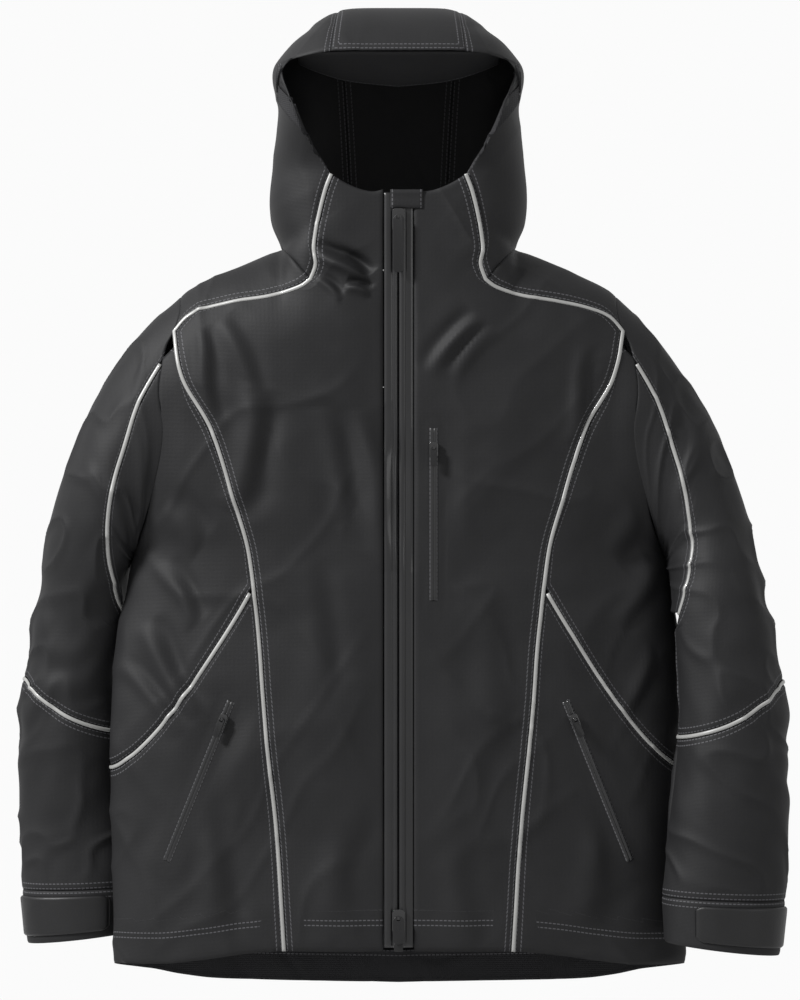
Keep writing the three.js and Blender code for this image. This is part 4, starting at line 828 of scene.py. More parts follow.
@dataclass(frozen=True)
class Finish:
    """A material's colours and gloss, and the size of its pattern."""

    name: str
    dark: str
    light: str
    roughness: float
    metallic: float = 0.0
    coat: float = 0.0
    weave_mm: float = 0.0  # spacing of the woven ribs, 0 for none
    grain_mm: float = 1.0  # size of the fine mottle
    weave_bump: float = 0.0
    grain_bump: float = 0.1
    cloud_mm: float = 60.0  # size of the broad changes of shade
    stitched: tuple[float, ...] = ()  # distances in millimetres from a seam to its stitch lines
    thread: str = "#3a3a3c"
    specular: float = 0.5
    ior: float = 1.5  # nylon, polyurethane, rubber and enamel all lie close to this

    def build(self) -> bpy.types.Material:
        """Builds the material.

        A broad noise mixes the two colours, ribs in two directions give the weave, and a fine
        noise the mottle of its surface. Stitches are short dashes at set distances from a seam.

        Returns:
            The material.
        """
        material = bpy.data.materials.new(self.name)
        material.use_nodes = True
        tree = material.node_tree
        tree.nodes.clear()
        place = add_node(tree, "TexCoord").outputs["Object"]
        cloud, speck = (
            add_node(tree, "TexNoise", None, {"Vector": place, "Scale": 1000 / size, "Detail": detail})
            for size, detail in ((self.cloud_mm, 4.0), (self.grain_mm, 2.0)))
        tone = add_node(tree, "Math", {"operation": "MULTIPLY_ADD"},
                        {0: speck.outputs["Fac"], 1: 0.45, 2: -0.2})
        shade = add_node(tree, "Math", {"operation": "ADD", "use_clamp": True},
                         {0: cloud.outputs["Fac"], 1: tone.outputs[0]})
        colour = add_node(tree, "Mix", {"data_type": "RGBA"},
                          {0: shade.outputs[0], 6: linear(self.dark), 7: linear(self.light)}).outputs[2]
        height = add_node(tree, "Math", {"operation": "MULTIPLY"},
                          {0: speck.outputs["Fac"], 1: self.grain_bump}).outputs[0]
        if self.weave_mm:
            # At scale 1 the wave texture has a band every pi / 10 m; this scale gives each rib one.
            scale = 100 * math.pi / self.weave_mm
            for direction in ("X", "Z"):
                rib = add_node(tree, "TexWave", {"bands_direction": direction},
                               {"Vector": place, "Scale": scale, "Distortion": 0.0})
                height = add_node(tree, "Math", {"operation": "MULTIPLY_ADD"},
                                  {0: rib.outputs["Fac"], 1: self.weave_bump, 2: height}).outputs[0]
        if self.stitched:
            colour, height = self.stitches(tree, colour, height)
        bump = add_node(tree, "Bump", None, {"Height": height, "Strength": 0.6, "Distance": 0.0006})
        shader = add_node(tree, "BsdfPrincipled", None, {
            "Base Color": colour, "Roughness": self.roughness, "Metallic": self.metallic,
            "IOR": self.ior, "Specular IOR Level": self.specular, "Coat Weight": self.coat,
            "Normal": bump.outputs["Normal"]})
        add_node(tree, "OutputMaterial", None, {"Surface": shader.outputs["BSDF"]})
        return material

    def stitches(self, tree: bpy.types.NodeTree, colour: bpy.types.NodeSocket,
                 height: bpy.types.NodeSocket) -> tuple[bpy.types.NodeSocket, bpy.types.NodeSocket]:
        """Lays lines of stitches over a colour and a height.

        A point is on a line where its distance from the seam is within 0.55 mm of the line's, and
        on a thread where the length along the seam, cut into steps of 4.2 mm, is in the first 70%.
        The real stitch is 2.8 mm long; it is drawn coarser so that it shows.

        Args:
            tree: the material's tree.
            colour, height: the outputs that the stitches go over.

        Returns:
            The new colour and height outputs.
        """
        chart = add_node(tree, "UVMap", {"uv_map": "UVMap"})
        spot = add_node(tree, "SeparateXYZ", None, {0: chart.outputs[0]})
        step = add_node(tree, "Math", {"operation": "MODULO"}, {0: spot.outputs[1], 1: 4.2 * MM})
        dash = add_node(tree, "Math", {"operation": "LESS_THAN"}, {0: step.outputs[0], 1: 2.9 * MM})
        for distance in self.stitched:
            on_line = add_node(tree, "Math", {"operation": "COMPARE"},
                               {0: spot.outputs[0], 1: distance * MM, 2: 0.55 * MM})
            mask = add_node(tree, "Math", {"operation": "MULTIPLY"},
                            {0: on_line.outputs[0], 1: dash.outputs[0]})
            colour = add_node(tree, "Mix", {"data_type": "RGBA"},
                              {0: mask.outputs[0], 6: colour, 7: linear(self.thread)}).outputs[2]
            groove = add_node(tree, "Math", {"operation": "MULTIPLY_ADD"},
                              {0: on_line.outputs[0], 1: -0.8, 2: height})
            height = add_node(tree, "Math", {"operation": "MULTIPLY_ADD"},
                              {0: mask.outputs[0], 1: 1.2, 2: groove.outputs[0]}).outputs[0]
        return colour, height


# Three-layer nylon laminate: a dull, very fine plain weave. Its real threads are 0.2 mm apart, and
# the ribs are drawn at 1.3 mm so that they show.
LAMINATE = Finish("nylon_laminate", "#0c0c0d", "#151516", 0.64, specular=0.16, weave_mm=1.3,
                  weave_bump=0.12, grain_mm=2.2, grain_bump=0.25, stitched=(2.2, 7.0, *HEM_STITCH))
# The same cloth on the small hemmed pieces, the visor and the flap over the top of the zip: one row
# of stitches by the edge.
HEM_LAMINATE = replace(LAMINATE, name="nylon_laminate_hem", stitched=(2.0,))
# Tricot backing: the laminate's inner face, knitted and quite dull.
TRICOT = Finish("tricot_backing", "#111112", "#19191b", 0.85, specular=0.2, weave_mm=2.0,
                weave_bump=0.5, grain_mm=3.0, grain_bump=0.4)
# The same backing on the facing inside the hem, with the hem's two rows of stitches.
HEM_TRICOT = replace(TRICOT, name="tricot_backing_hem", grain_bump=0.2, cloud_mm=80, stitched=HEM_STITCH)
# Retro-reflective piping: a smooth light grey film round a cord, with a low gloss.
PIPING = Finish("reflective_piping", "#626261", "#787876", 0.42, grain_mm=1.5, grain_bump=0.2,
                cloud_mm=25, coat=0.15)
# Polyurethane-coated zip tape: satin, with a long soft highlight.
COATED_TAPE = Finish("coated_zip_tape", "#0b0b0c", "#141415", 0.36, specular=0.28, grain_mm=1.2,
                     grain_bump=0.15, coat=0.1, cloud_mm=40)
# The same tape at the pocket zips, sewn down by one row of stitches along each side.
STITCHED_TAPE = replace(COATED_TAPE, name="coated_zip_tape_stitched", stitched=(1.0,))
# Woven polyester tape: matt, with plain ribs across it.
WOVEN_TAPE = Finish("woven_tape", "#0d0d0e", "#171718", 0.85, specular=0.2, weave_mm=1.1,
                    weave_bump=1.0, grain_mm=1.4)
# Die-cast zinc, stove-enamelled black: worn to a low gloss.
ENAMEL = Finish("black_enamelled_zinc", "#070708", "#121213", 0.26, metallic=0.4, specular=0.6,
                grain_mm=4, grain_bump=0.1, coat=0.4, cloud_mm=12)
# Moulded thermoplastic rubber: a fine eroded grain.
RUBBER = Finish("moulded_rubber", "#060607", "#0d0d0e", 0.46, specular=0.25, grain_mm=0.9,
                grain_bump=0.6, cloud_mm=20)
# Matt paper floor under the jacket.
PAPER = Finish("matt_paper", "#c6c6c6", "#cccccc", 0.95, grain_mm=30, grain_bump=0.02, cloud_mm=900)


@dataclass
class Workshop:
    """Dresses each piece, sets what it rides on and reports it."""

    made: dict[str, bpy.types.Material] = field(default_factory=dict)

    def material(self, finish: Finish) -> bpy.types.Material:
        """Returns a finish's material, built the first time it is asked for."""
        if finish.name not in self.made:
            self.made[finish.name] = finish.build()
        return self.made[finish.name]

    def dress(self, obj: bpy.types.Object, finish: Finish, slot: Slot,
              lining: Finish | None = None) -> None:
        """Gives a piece its material and its inner material.

        Args:
            obj: the piece.
            finish: the outer finish.
            slot: the record's slot; not used.
            lining: the finish of the inner face, where it has one.
        """
        obj.data.materials.clear()
        obj.data.materials.append(self.material(finish))
        obj.data.materials.append(self.material(lining or finish))

    def ride(self, obj: bpy.types.Object, body: str, *replaced: str) -> None:
        """Sets the body that a piece moves with, and the nodes that it stands for."""
        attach(obj, body)
        if replaced:
            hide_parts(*replaced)
        log.info("%s rides on %s", obj.name, body)

    def bend(self, obj: bpy.types.Object, side: Side, *replaced: str) -> None:
        """Bakes a sleeve piece's placing into its mesh and hides the nodes that it stands for."""
        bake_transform(obj)
        if replaced:
            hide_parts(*replaced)
        log.info("%s bends at the elbow", obj.name)


# ------------------------------------------------------------------ sub-assemblies


@dataclass
class Torso:
    """The body panels, their piping and the pieces sewn inside them."""

    form: Form
    shop: Workshop
    thickness: float = 0.9
    columns: int = 56
    side_fall: float = 2.8
    pucker: float = 0.34

    def surface_cloth(self, chart: Array, edges: Edges, surface: Surface | None = None,
                      side: Side = Side.LEFT, depth: float = 0.0) -> Cloth:
        """Turns a chart of one panel into draped cloth.

        Args:
            chart: the panel's chart, on the wearer's left.
            edges: how its edges stand back.
            surface: the form it lies on, the body if left out.
            side: the side it is for; the chart is mirrored for the right before it is draped.
            depth: how far inside the form it lies.

        Returns:
            The cloth.
        """
        surface = surface or self.form.on_body
        chart = trimmed(chart, surface(chart), edges)
        chart = chart * np.array([side.value, 1.0])
        place = surface(chart)
        normal = normals_of(surface, chart, BODY_STEP)
        outward = place * np.array([0.4, 1.0, 0.0])
        normal *= np.where(np.sum(normal * outward, axis=-1, keepdims=True).mean() < 0, -1.0, 1.0)
        lift = self.form.drape(place) - depth
        return finish_cloth(place, normal, lift, edges.stitched, self.pucker)

    def front_chart(self) -> Array:
        """Returns the front panel's chart: placket to piped edge, collar to hem."""
        form = self.form
        heights = np.concatenate([steps(COLLAR_EDGE, 4, NECK_STEPS), steps(4, -62, YOKE_STEPS)[1:],
                                  steps(-62, -324, UPPER_STEPS)[1:],
                                  steps(-324, FRONT_HEM, LOWER_STEPS)[1:]])
        left = form.body_chart(column(PLACKET, heights))
        right = form.body_chart(joined(spline(NECK_EDGE, NECK_STEPS), spline(YOKE_EDGE, YOKE_STEPS),
                                       spline(PRINCESS_UPPER, UPPER_STEPS),
                                       spline(PRINCESS_LOWER, LOWER_STEPS)))
        top = form.body_chart(spline(COLLAR_TOP, self.columns))
        top[0], top[-1] = left[0], right[0]
        share = np.linspace(0, 1, self.columns + 1)
        bottom = mix(left[-1], right[-1], share[:, None])
        return coons(left, right, top, bottom, share)

    def shoulder_edge(self) -> Array:
        """Returns the shoulder seam on the pattern, just outside the outline so that front meets back."""
        edge = spline(SHOULDER_EDGE, YOKE_STEPS)
        edge[:, 1] = self.form.shoulder_line(edge[:, 0]) + 0.05
        return edge

    def yoke_chart(self) -> Array:
        """Returns the front yoke's chart: piped edge up to the shoulder line."""
        form = self.form
        low, high = form.body_chart(spline(YOKE_EDGE, YOKE_STEPS)), form.body_chart(self.shoulder_edge())
        rise = 1 - (1 - np.linspace(0, 1, 31)) ** 2
        grid = mix(low[None], high[None], rise[:, None, None])
        last = grid[:, -1, 1]
        edge = form.body_chart(column(form.armhole_half(last), last))
        blend = smoothstep(np.linspace(0, 1, YOKE_STEPS + 1), 0.75, 1.0)[None, :, None]
        return grid + (edge - grid[:, -1])[:, None] * blend

    def diagonal(self, spacing: Array) -> Array:
        """Returns the piped seam across the side: it drops steeply, then runs out level."""
        start = self.form.body_chart(np.array(PRINCESS_LOWER[0], float))
        fall = 1 - (1 - spacing) ** self.side_fall
        return np.stack([mix(start[0], 90.0, spacing), mix(start[1], SIDE_SEAM_TURN, fall)], axis=-1)

    def side_charts(self) -> tuple[Array, Array]:
        """Returns the charts of the side panels above and below the piped seam."""
        form = self.form
        spacing = np.linspace(0, 1, self.columns + 1) ** 1.7
        diagonal = self.diagonal(spacing)
        seam = form.body_chart(spline(PRINCESS_UPPER, UPPER_STEPS))
        tip = form.body_chart(mix(np.array(PRINCESS_UPPER[0], float), spline(PRINCESS_UPPER, 9)[1], 0.5))
        seam[0] = tip
        heights = steps(-98, PIT, ARMHOLE_STEPS)
        armhole = form.body_chart(column(form.armhole_half(heights), heights))
        armhole[-1, 0] = 90.0
        right = joined(armhole, column(90.0, steps(PIT, SIDE_SEAM_TURN, UNDERARM_STEPS)))
        top = mix(tip, armhole[0], spacing[:, None])
        upper = relaxed(coons(seam, right, top, diagonal, spacing), 500)
        left = form.body_chart(spline(PRINCESS_LOWER, LOWER_STEPS))
        angles = mix(left[-1, 0], 90.0, spacing)
        bottom = np.stack([angles, form.hem_height(angles)], axis=-1)
        side = column(90.0, steps(SIDE_SEAM_TURN, SIDE_SEAM_END, SIDE_STEPS))
        return upper, coons(left, side, diagonal, bottom, spacing)

    def back_seam(self, x: Array) -> Array:
        """Returns the height of the back yoke's seam at each distance from the middle."""
        return hermite([(0, -124), (120, -120), (234, BACK_YOKE)])(x)

    def back_yoke_chart(self) -> Array:
        """Returns the back yoke's chart, mirrored across the middle."""
        form = self.form
        half = joined(spline(BACK_NECK, 8 * 7), self.shoulder_edge())
        top = form.body_chart(half, True)
        end_x = float(form.armhole_half(np.array(BACK_YOKE)))
        x = np.linspace(0, end_x, len(top))
        bottom = form.body_chart(np.stack([x, self.back_seam(x)], axis=-1), True)
        fall = np.linspace(0, 1, 43) ** 2
        grid = mix(top[None], bottom[None], fall[:, None, None])
        heights = mix(SHOULDER_TIP, BACK_YOKE, fall)
        edge = form.body_chart(column(form.armhole_half(heights), heights), True)
        blend = smoothstep(np.linspace(0, 1, len(top)), 0.82, 1.0)[None, :, None]
        grid = grid + (edge - grid[:, -1])[:, None] * blend
        other = grid[:, 1:] * np.array([-1, 1]) + np.array([360, 0])
        return np.concatenate([grid[:, ::-1], other], axis=1)

    def back_chart(self) -> Array:
        """Returns the back panel's chart, mirrored across the middle."""
        form = self.form
        heights = steps(BACK_YOKE, PIT, ARMHOLE_STEPS)
        armhole = form.body_chart(column(form.armhole_half(heights), heights), True)
        armhole[-1, 0] = 90.0
        edge = joined(armhole, column(90.0, steps(PIT, SIDE_SEAM_TURN, UNDERARM_STEPS)),
                      column(90.0, steps(SIDE_SEAM_TURN, SIDE_SEAM_END, SIDE_STEPS)))
        share = np.linspace(0, 1, 101)
        x = mix(float(form.armhole_half(np.array(BACK_YOKE))), 0.0, share)
        top = form.body_chart(np.stack([x, self.back_seam(x)], axis=-1), True)
        angles = mix(90.0, 180.0, share)
        bottom = np.stack([angles, form.hem_height(angles)], axis=-1)
        down = (edge[0, 1] - edge[:, 1]) / (edge[0, 1] - edge[-1, 1])
        middle = column(180.0, mix(top[-1, 1], bottom[-1, 1], down))
        half = coons(edge, middle, top, bottom, share)
        other = half[:, -2::-1] * np.array([-1, 1]) + np.array([360, 0])
        return np.concatenate([half, other], axis=1)

    def panel(self, name: str, chart: Array, edges: Edges, side: Side, finish: Finish = LAMINATE) -> None:
        """Makes one body panel and lets it stand for its node."""
        obj = cloth_mesh(f"{name}_cloth", self.surface_cloth(chart, edges, side=side), self.thickness)
        self.shop.dress(obj, finish, Slot.SHELL, TRICOT)
        self.shop.ride(obj, "jacket", name)

    def pipe(self, name: str, chart: Array, side: Side) -> None:
        """Lays piping along a run of chart points."""
        chart = chart * np.array([side.value, 1.0])
        place = self.form.on_body(chart)
        normal = normals_of(self.form.on_body, chart, BODY_STEP)
        normal *= np.where(np.sum(normal * place * np.array([0.4, 1, 0])) < 0, -1.0, 1.0)
        path = place + normal * self.form.drape(place)[:, None]
        obj = swept(f"{name}_cord", path, normal, CORD)
        self.shop.dress(obj, PIPING, Slot.PIPING)
        self.shop.ride(obj, "jacket", name)

    def build(self) -> None:
        """Builds every body panel and the piping between them."""
        form = self.form
        upper, lower = self.side_charts()
        front, yoke = self.front_chart(), self.yoke_chart()
        seam = joined(spline(NECK_EDGE, 60), spline(YOKE_EDGE, 70), spline(PRINCESS_UPPER, 100),
                      spline(PRINCESS_LOWER, 130))
        cross = self.diagonal(np.linspace(0.012, 0.985, 90))
        for side in Side:
            word = side.word
            self.panel(f"front_panel_{word}", front, Edges(0.2, PIPED, 0.5, 0, "rh"), side)
            self.panel(f"front_yoke_{word}", yoke, Edges(-0.3, -0.8, PIPED, -0.3, "t"), side)
            self.panel(f"side_upper_{word}", upper, Edges(PIPED, -0.5, -0.8, PIPED, "lb"), side)
            self.panel(f"side_lower_{word}", lower, Edges(PIPED, 0.2, PIPED, 0, "lth"), side)
            self.pipe(f"front_piping_{word}", form.body_chart(seam), side)
            self.pipe(f"side_piping_{word}", cross, side)
        self.panel("back_yoke", self.back_yoke_chart(), Edges(-0.8, -0.8, -0.6, 0.2, "b"), Side.LEFT)
        self.panel("back_panel", self.back_chart(), Edges(0.2, 0.2, 0.2, 0, "th"), Side.LEFT)


@dataclass
class Hood:
    """The hood: a centre panel, two sides, the facings behind the face rim and the visor."""

    torso: Torso
    centre_columns: int = 44
    side_columns: int = 62
    front_rows: int = 4 * FINE
    back_rows: int = 9 * FINE

    def centre(self) -> Array:
        """Places of the centre panel: a band over the crown, from the brim to the neck.

        The height falls from the ridge with the square of the way along, so that the band turns
        over the crown in a round curve.
        """
        form = self.torso.form
        half_front = hermite([(201, 65.5), (225, 63), (249, 60)])
        half_back = hermite([(249, 60), (200, 56), (100, 50), (-5, CENTRE_HALF)])
        nape = hermite([(0, -5), (45, -4)])
        share = np.linspace(-1, 1, self.centre_columns + 1)[None, :]
        t = np.concatenate([steps(-1, 0, self.front_rows), steps(0, 1, self.back_rows)[1:]])[:, None]
        ridge = mix(CROWN - 0.05, 249.2, smoothstep(np.abs(share), 0.72, 1.0))
        low = np.where(t > 0, nape(np.abs(share) * CENTRE_HALF), BRIM_EDGE)
        z = ridge - (ridge - low) * t * t
        wide = np.where(t > 0, half_back(z), half_front(z))
        wide = np.where(np.isclose(t, 0), np.minimum(wide, form.hood_half(z)), wide)
        x = share * wide
        depth = np.where(t > 0, form.back_depth(z), -form.front_depth(z)) * form.depth_share(x, z)
        return np.stack([x, np.where(np.isclose(t, 0), 0, depth), z], axis=-1)

    def side(self, centre: Array) -> Array:
        """Places of one side panel, from the centre seam to the face rim and the collar."""
        form = self.torso.form
        edge = centre[:, -1]
        turn = form.hood_chart(edge[:, [0, 2]])
        behind = np.arange(len(edge)) > self.front_rows
        turn[behind, 0] = 180 - turn[behind, 0]
        turn[self.front_rows, 0] = 90.0
        rows = len(edge) - 1
        rim = form.hood_chart(joined(spline(RIM_EDGE, rows - NECK_STEPS), spline(NECK_EDGE, NECK_STEPS)))
        share = np.linspace(0, 1, self.side_columns + 1)
        brim = mix(turn[0], rim[0], share[:, None])
        neck_height = hermite([tuple(rim[-1]), (60, -5), (75, 7.5), (90, 12), (130, 2), tuple(turn[-1])])
        angles = mix(turn[-1, 0], rim[-1, 0], share)
        neck = np.stack([angles, neck_height(angles)], axis=-1)
        grid = form.on_hood(coons(turn, rim, brim, neck, share))
        grid[:, 0] = edge
        return grid

    def cloth(self, place: Array, edges: Edges, side: Side, depth: float = 0.0, fade: str = "") -> Cloth:
        """Drapes a grid of hood places, whose normals come from its own rows and columns.

        Args:
            place: the grid.
            edges: how its edges stand back.
            side: the side it is for; the grid is mirrored for the right.
            depth: how far inside the hood it lies.
            fade: sides on which the drape dies away into the seam, "l" or "lr".

        Returns:
            The cloth.
        """
        normal = np.cross(np.gradient(place, axis=0), np.gradient(place, axis=1))
        normal /= np.maximum(np.linalg.norm(normal, axis=-1, keepdims=True), 1e-9)
        outward = place - np.array([0, 0, 110.0]) * np.ones_like(place)
        normal *= 1.0 if np.sum(normal * outward) > 0 else -1.0
        flip = np.array([side.value, 1.0, 1.0])
        both = trimmed(np.concatenate([place, normal], axis=-1), place, edges)
        place, normal = both[..., :3] * flip, both[..., 3:] * flip
        across = lengths(place, 1)
        seam_gap = across if fade == "l" else np.minimum(across, across[:, -1:] - across)
        lift = self.torso.form.drape(place) * (smoothstep(seam_gap, 0, 14) if fade else 1) - depth
        return finish_cloth(place, normal, lift, edges.stitched, 0.3)

    def add(self, name: str, cloth: Cloth, finish: Finish, slot: Slot, thickness: float = 0.9) -> None:
        """Makes one hood piece."""
        obj = cloth_mesh(f"{name}_cloth", cloth, thickness)
        shop = self.torso.shop
        shop.dress(obj, finish, slot, TRICOT)
        shop.ride(obj, "jacket", name)

    def visor(self) -> Cloth:
        """The stiffened visor, which hangs back and down from the brim.

        It reaches back as a parabola across, and down to a line that rises towards its ends.
        """
        form = self.torso.form
        share = np.linspace(-1, 1, 81)[None, :]
        t = np.linspace(0, 1, 25)[:, None]
        x = share * 100.0 + 0 * t
        brim = np.full_like(x, BRIM_EDGE)
        reach = form.front_depth(brim) * form.depth_share(x, brim) - 7.0
        low = hermite([(0, 169), (51, 174), (84, 184), (104, 194)])
        z = mix(BRIM_EDGE - 2.0, low(np.abs(x)), t)
        place = np.stack([x, -reach + t * 44.0 * (1 - 0.5 * share**2), z], axis=-1)
        normal = np.cross(np.gradient(place, axis=0), np.gradient(place, axis=1))
        normal /= np.linalg.norm(normal, axis=-1, keepdims=True)
        normal *= np.sign(np.sum(normal * np.array([0, -1, -1])))
        return finish_cloth(place, normal, 0.4 * noise(x, z, 30, 40), "b", 0.1)

    def build(self) -> None:
        """Builds the hood."""
        centre = self.centre()
        side_grid = self.side(centre)
        band = self.cloth(centre, Edges(-0.9, -0.9, 0.3, 0.2, "lrt"), Side.LEFT, fade="lr")
        self.add("hood_centre_panel", band, LAMINATE, Slot.SHELL)
        rows = len(side_grid) - NECK_STEPS
        first = int(self.side_columns * 0.86)
        for side in Side:
            word = side.word
            panel = self.cloth(side_grid, Edges(0, 1.0, 0.3, -0.5, "lr"), side, fade="lr")
            self.add(f"hood_side_{word}", panel, LAMINATE, Slot.SHELL)
            whole = self.cloth(side_grid, Edges(0, 2.2, 0.3, 1.0), side, 2.0, fade="lr")
            facing = Cloth(*(values[5:rows, first:] for values in (
                whole.place, whole.normal, whole.seam, whole.along)))
            self.add(f"hood_facing_{word}", facing, TRICOT, Slot.LINING, 0.8)
        self.add("hood_visor", self.visor(), HEM_LAMINATE, Slot.LINING, 1.6)


# Sections down the sleeve from the armhole to the cuff: the outer and the inner edge on the pattern,
# the depth as a share of the sleeve's half depth, and how far the section swings forward
SECTIONS = [
    ((217.5, -35), (262, PIT), 0.9, 0), ((254, -70), (263, -289), 0.98, 0),
    ((288, -118), (264, -291), 1.04, 0), ((314, -163), (265, -295), 1.06, -2),
    ((333, -210), (267, -302), 1.06, -8), ((350, -265), (270, -318), 1.05, -20),
    ((363, -331), (272, -352), 1.02, -34), ((375, -389), (276, -398), 1, -41),
    ((383, -445), (278, -447), 0.96, -45), ((386, -500), (274, -497), 0.92, -49),
    ((386, -545), (268, -545), 0.88, -52), ((383, -590), (263, -590), 0.85, -54),
    ((381, -632), (260, -628), 0.82, -55), ((376, -686), (262, -673), 0.81, -55)]
SLEEVE_STEP = (0.8, 0.02)  # small steps of angle and section by which a sleeve's normals are taken


@dataclass
class Sleeve:
    """One sleeve, from the armhole to the cuff, with its tab."""

    form: Form
    shop: Workshop
    side: Side
    half_depth: float = 52.0
    armhole_blend: float = 2.2  # the section by which the armhole's shape has died away
    gusset_end: float = 6.3  # the section at which the underarm piece ends
    cuff: tuple[float, float] = (12.0, 13.0)  # sections of the cuff's two ends
    start: float = -0.02
    under: float = 179.7  # angle of the underarm seam, which stays open by a hair

    def __post_init__(self) -> None:
        """Sets up the curves through the sleeve's sections."""
        outer = np.array([(x, swing, z) for (x, z), _, _, swing in SECTIONS], float)
        inner = np.array([(x, swing, z) for _, (x, z), _, swing in SECTIONS], float)
        self.outer, self.inner = self.through(outer), self.through(inner)
        self.deep = hermite([(i, row[2] * self.half_depth) for i, row in enumerate(SECTIONS)])
        self.gusset_share = hermite([
            (0, 0.26), (1, 0.36), (2, 0.49), (3, 0.59), (4, 0.68), (5, 0.8), (6, 0.94),
            (self.gusset_end, 0.985)])

    @staticmethod
    def through(points: Array) -> Callable[[Array], Array]:
        """Returns a Catmull-Rom curve through points, as a function of the point number."""
        ends = np.vstack([2 * points[:1] - points[1:2], points, 2 * points[-1:] - points[-2:-1]])

        def at(along: Array) -> Array:
            """Returns the curve's points."""
            i = np.clip(np.floor(along).astype(int), 0, len(points) - 2)
            w = (along - i)[..., None]
            p0, p1, p2, p3 = ends[i], ends[i + 1], ends[i + 2], ends[i + 3]
            v0, v1 = (p2 - p0) / 2, (p3 - p1) / 2
            return cubic(p1, p2, v0, v1, w)

        return at

    def surface(self, chart: Array) -> Array:
        """Places on the sleeve: angle round it, 0 at the outer edge and 90 at the front, and section.

        A share (1 - cos angle) / 2 of the way from the outer to the inner curve, and half a depth
        times the sine of the angle to the front. Near the armhole it takes the armhole's shape.
        """
        form = self.form
        angle, along = np.radians(chart[..., 0]), chart[..., 1]
        share = (1 - np.cos(angle)) / 2
        place = mix(self.outer(along), self.inner(along), share[..., None])
        front = np.sin(angle)
        z = mix(SHOULDER_TIP, PIT, share)
        half = form.armhole_half(z)
        depth = np.where(front > 0, form.front_depth(z), form.back_depth(z))
        edge = form.depth_share(half, z) * depth * np.tanh(front * 60)
        blend = smoothstep(along, 0, self.armhole_blend)
        line = mix(form.armhole_half(np.array(SHOULDER_TIP)), form.armhole_half(np.array(PIT)), share)
        place[..., 0] += (half - line) * (1 - blend)
        place[..., 1] = self.side.value * place[..., 1] - mix(edge, front * self.deep(along), blend)
        return place

    def gusset_angle(self, along: Array) -> Array:
        """Returns the angle at which the underarm piece starts at each section."""
        return np.degrees(np.arccos(1 - 2 * self.gusset_share(np.minimum(along, self.gusset_end))))

    @staticmethod
    def elbow(angle: Array) -> Array:
        """Returns the section at which the elbow seam runs, at each angle."""
        share = (1 - np.cos(np.radians(angle))) / 2
        return 7.5 + share + 0.16 * np.sin(math.pi * share)

    def lift(self, chart: Array, place: Array) -> Array:
        """How far the sleeve's cloth stands off its form.

        Rings of creases gather at the elbow and, softer, below the shoulder: waves along the sleeve
        that slant round it and are broken up by noise. The cuff lies calm under its tab.
        """
        angle, along = chart[..., 0], chart[..., 1]
        turn = np.radians(angle)
        seed = 50 if self.side is Side.LEFT else 60
        around, drop = 95 * turn, along * 52  # millimetres, near enough, round and down the sleeve
        waves = 1.8 * noise(around, drop, 95, seed) + 0.9 * noise(around + 0.4 * drop, drop, 42, seed + 1)
        ridged = 1 - 2 * np.abs(noise(around * 0.6, drop * 1.2 + 0.3 * around, 46, seed + 2))
        bend = np.exp(-(((along - 7.4) / 1.5) ** 2)) * (0.55 + 0.45 * np.sin(turn + 2.1))
        slant = along * 0.92 + 0.16 * np.sin(turn + 0.7)
        rings = np.sin(2 * math.pi * slant + 3.0 * noise(around, drop, 80, seed + 3))
        shoulder = np.exp(-(((along - 2.2) / 1.4) ** 2))
        shoulder = shoulder * np.maximum(np.sin(turn * 3 + 0.6 * along), 0) * 1.6
        calm = smoothstep(along, 0.1, 1.2) * (1 - 0.9 * smoothstep(along, 11.2, 12.1))
        near = smoothstep(180 - np.abs(((angle + 180) % 360) - 180), 0, 6)
        creases = 2.4 * np.maximum(ridged, 0) ** 2
        return calm * near * (1.5 * waves + creases - 0.5 + 3.3 * bend * rings + shoulder)

    def cloth(self, chart: Array, edges: Edges, depth: float = 0.0) -> Cloth:
        """Turns a chart of the sleeve into draped cloth, mirrored for the right side."""
        chart = trimmed(chart, self.surface(chart), edges)
        place = self.surface(chart)
        normal = normals_of(self.surface, chart, SLEEVE_STEP)
        centre = (self.surface(chart * [0, 1] + [90, 0]) + self.surface(chart * [0, 1] + [270, 0])) / 2
        normal *= np.where(np.sum(normal * (place - centre), axis=-1, keepdims=True) < 0, -1.0, 1.0)
        flip = np.array([self.side.value, 1.0, 1.0])
        lift = self.lift(chart, place) - depth
        return finish_cloth(place * flip, normal * flip, lift, edges.stitched, 0.3)

    def upper_chart(self) -> Array:
        """Returns the upper sleeve's chart, as wide as the underarm piece leaves it."""
        rows = np.linspace(0, 1, 118)[:, None]
        u = np.linspace(-1, 1, 109)[None, :]
        rough = mix(self.start, 8.0, rows)
        reach = np.where(rough < self.gusset_end, self.gusset_angle(rough), self.under)
        along = mix(self.start, self.elbow(u * reach), rows)
        gusset = np.minimum(self.gusset_angle(along), self.under)
        close = np.where(along < self.gusset_end, gusset, self.under)
        return np.stack([u * close, along], axis=-1)

    def gusset_chart(self) -> Array:
        """Returns the underarm piece's chart."""
        along = np.linspace(self.start, self.gusset_end - 0.35, 90)[:, None] + np.zeros((1, 61))
        edge = self.gusset_angle(along)
        return np.stack([mix(edge, 360 - edge, np.linspace(0, 1, 61)[None, :]), along], axis=-1)

    def tube_chart(self, start: Callable[[Array], Array], end: float, rows: int) -> Array:
        """Returns the chart of a whole tube from a line round the sleeve to a section."""
        angle = np.linspace(-self.under, self.under, 109)[None, :] + np.zeros((rows + 1, 1))
        along = mix(start(angle), end, np.linspace(0, 1, rows + 1)[:, None])
        return np.stack([angle, along], axis=-1)

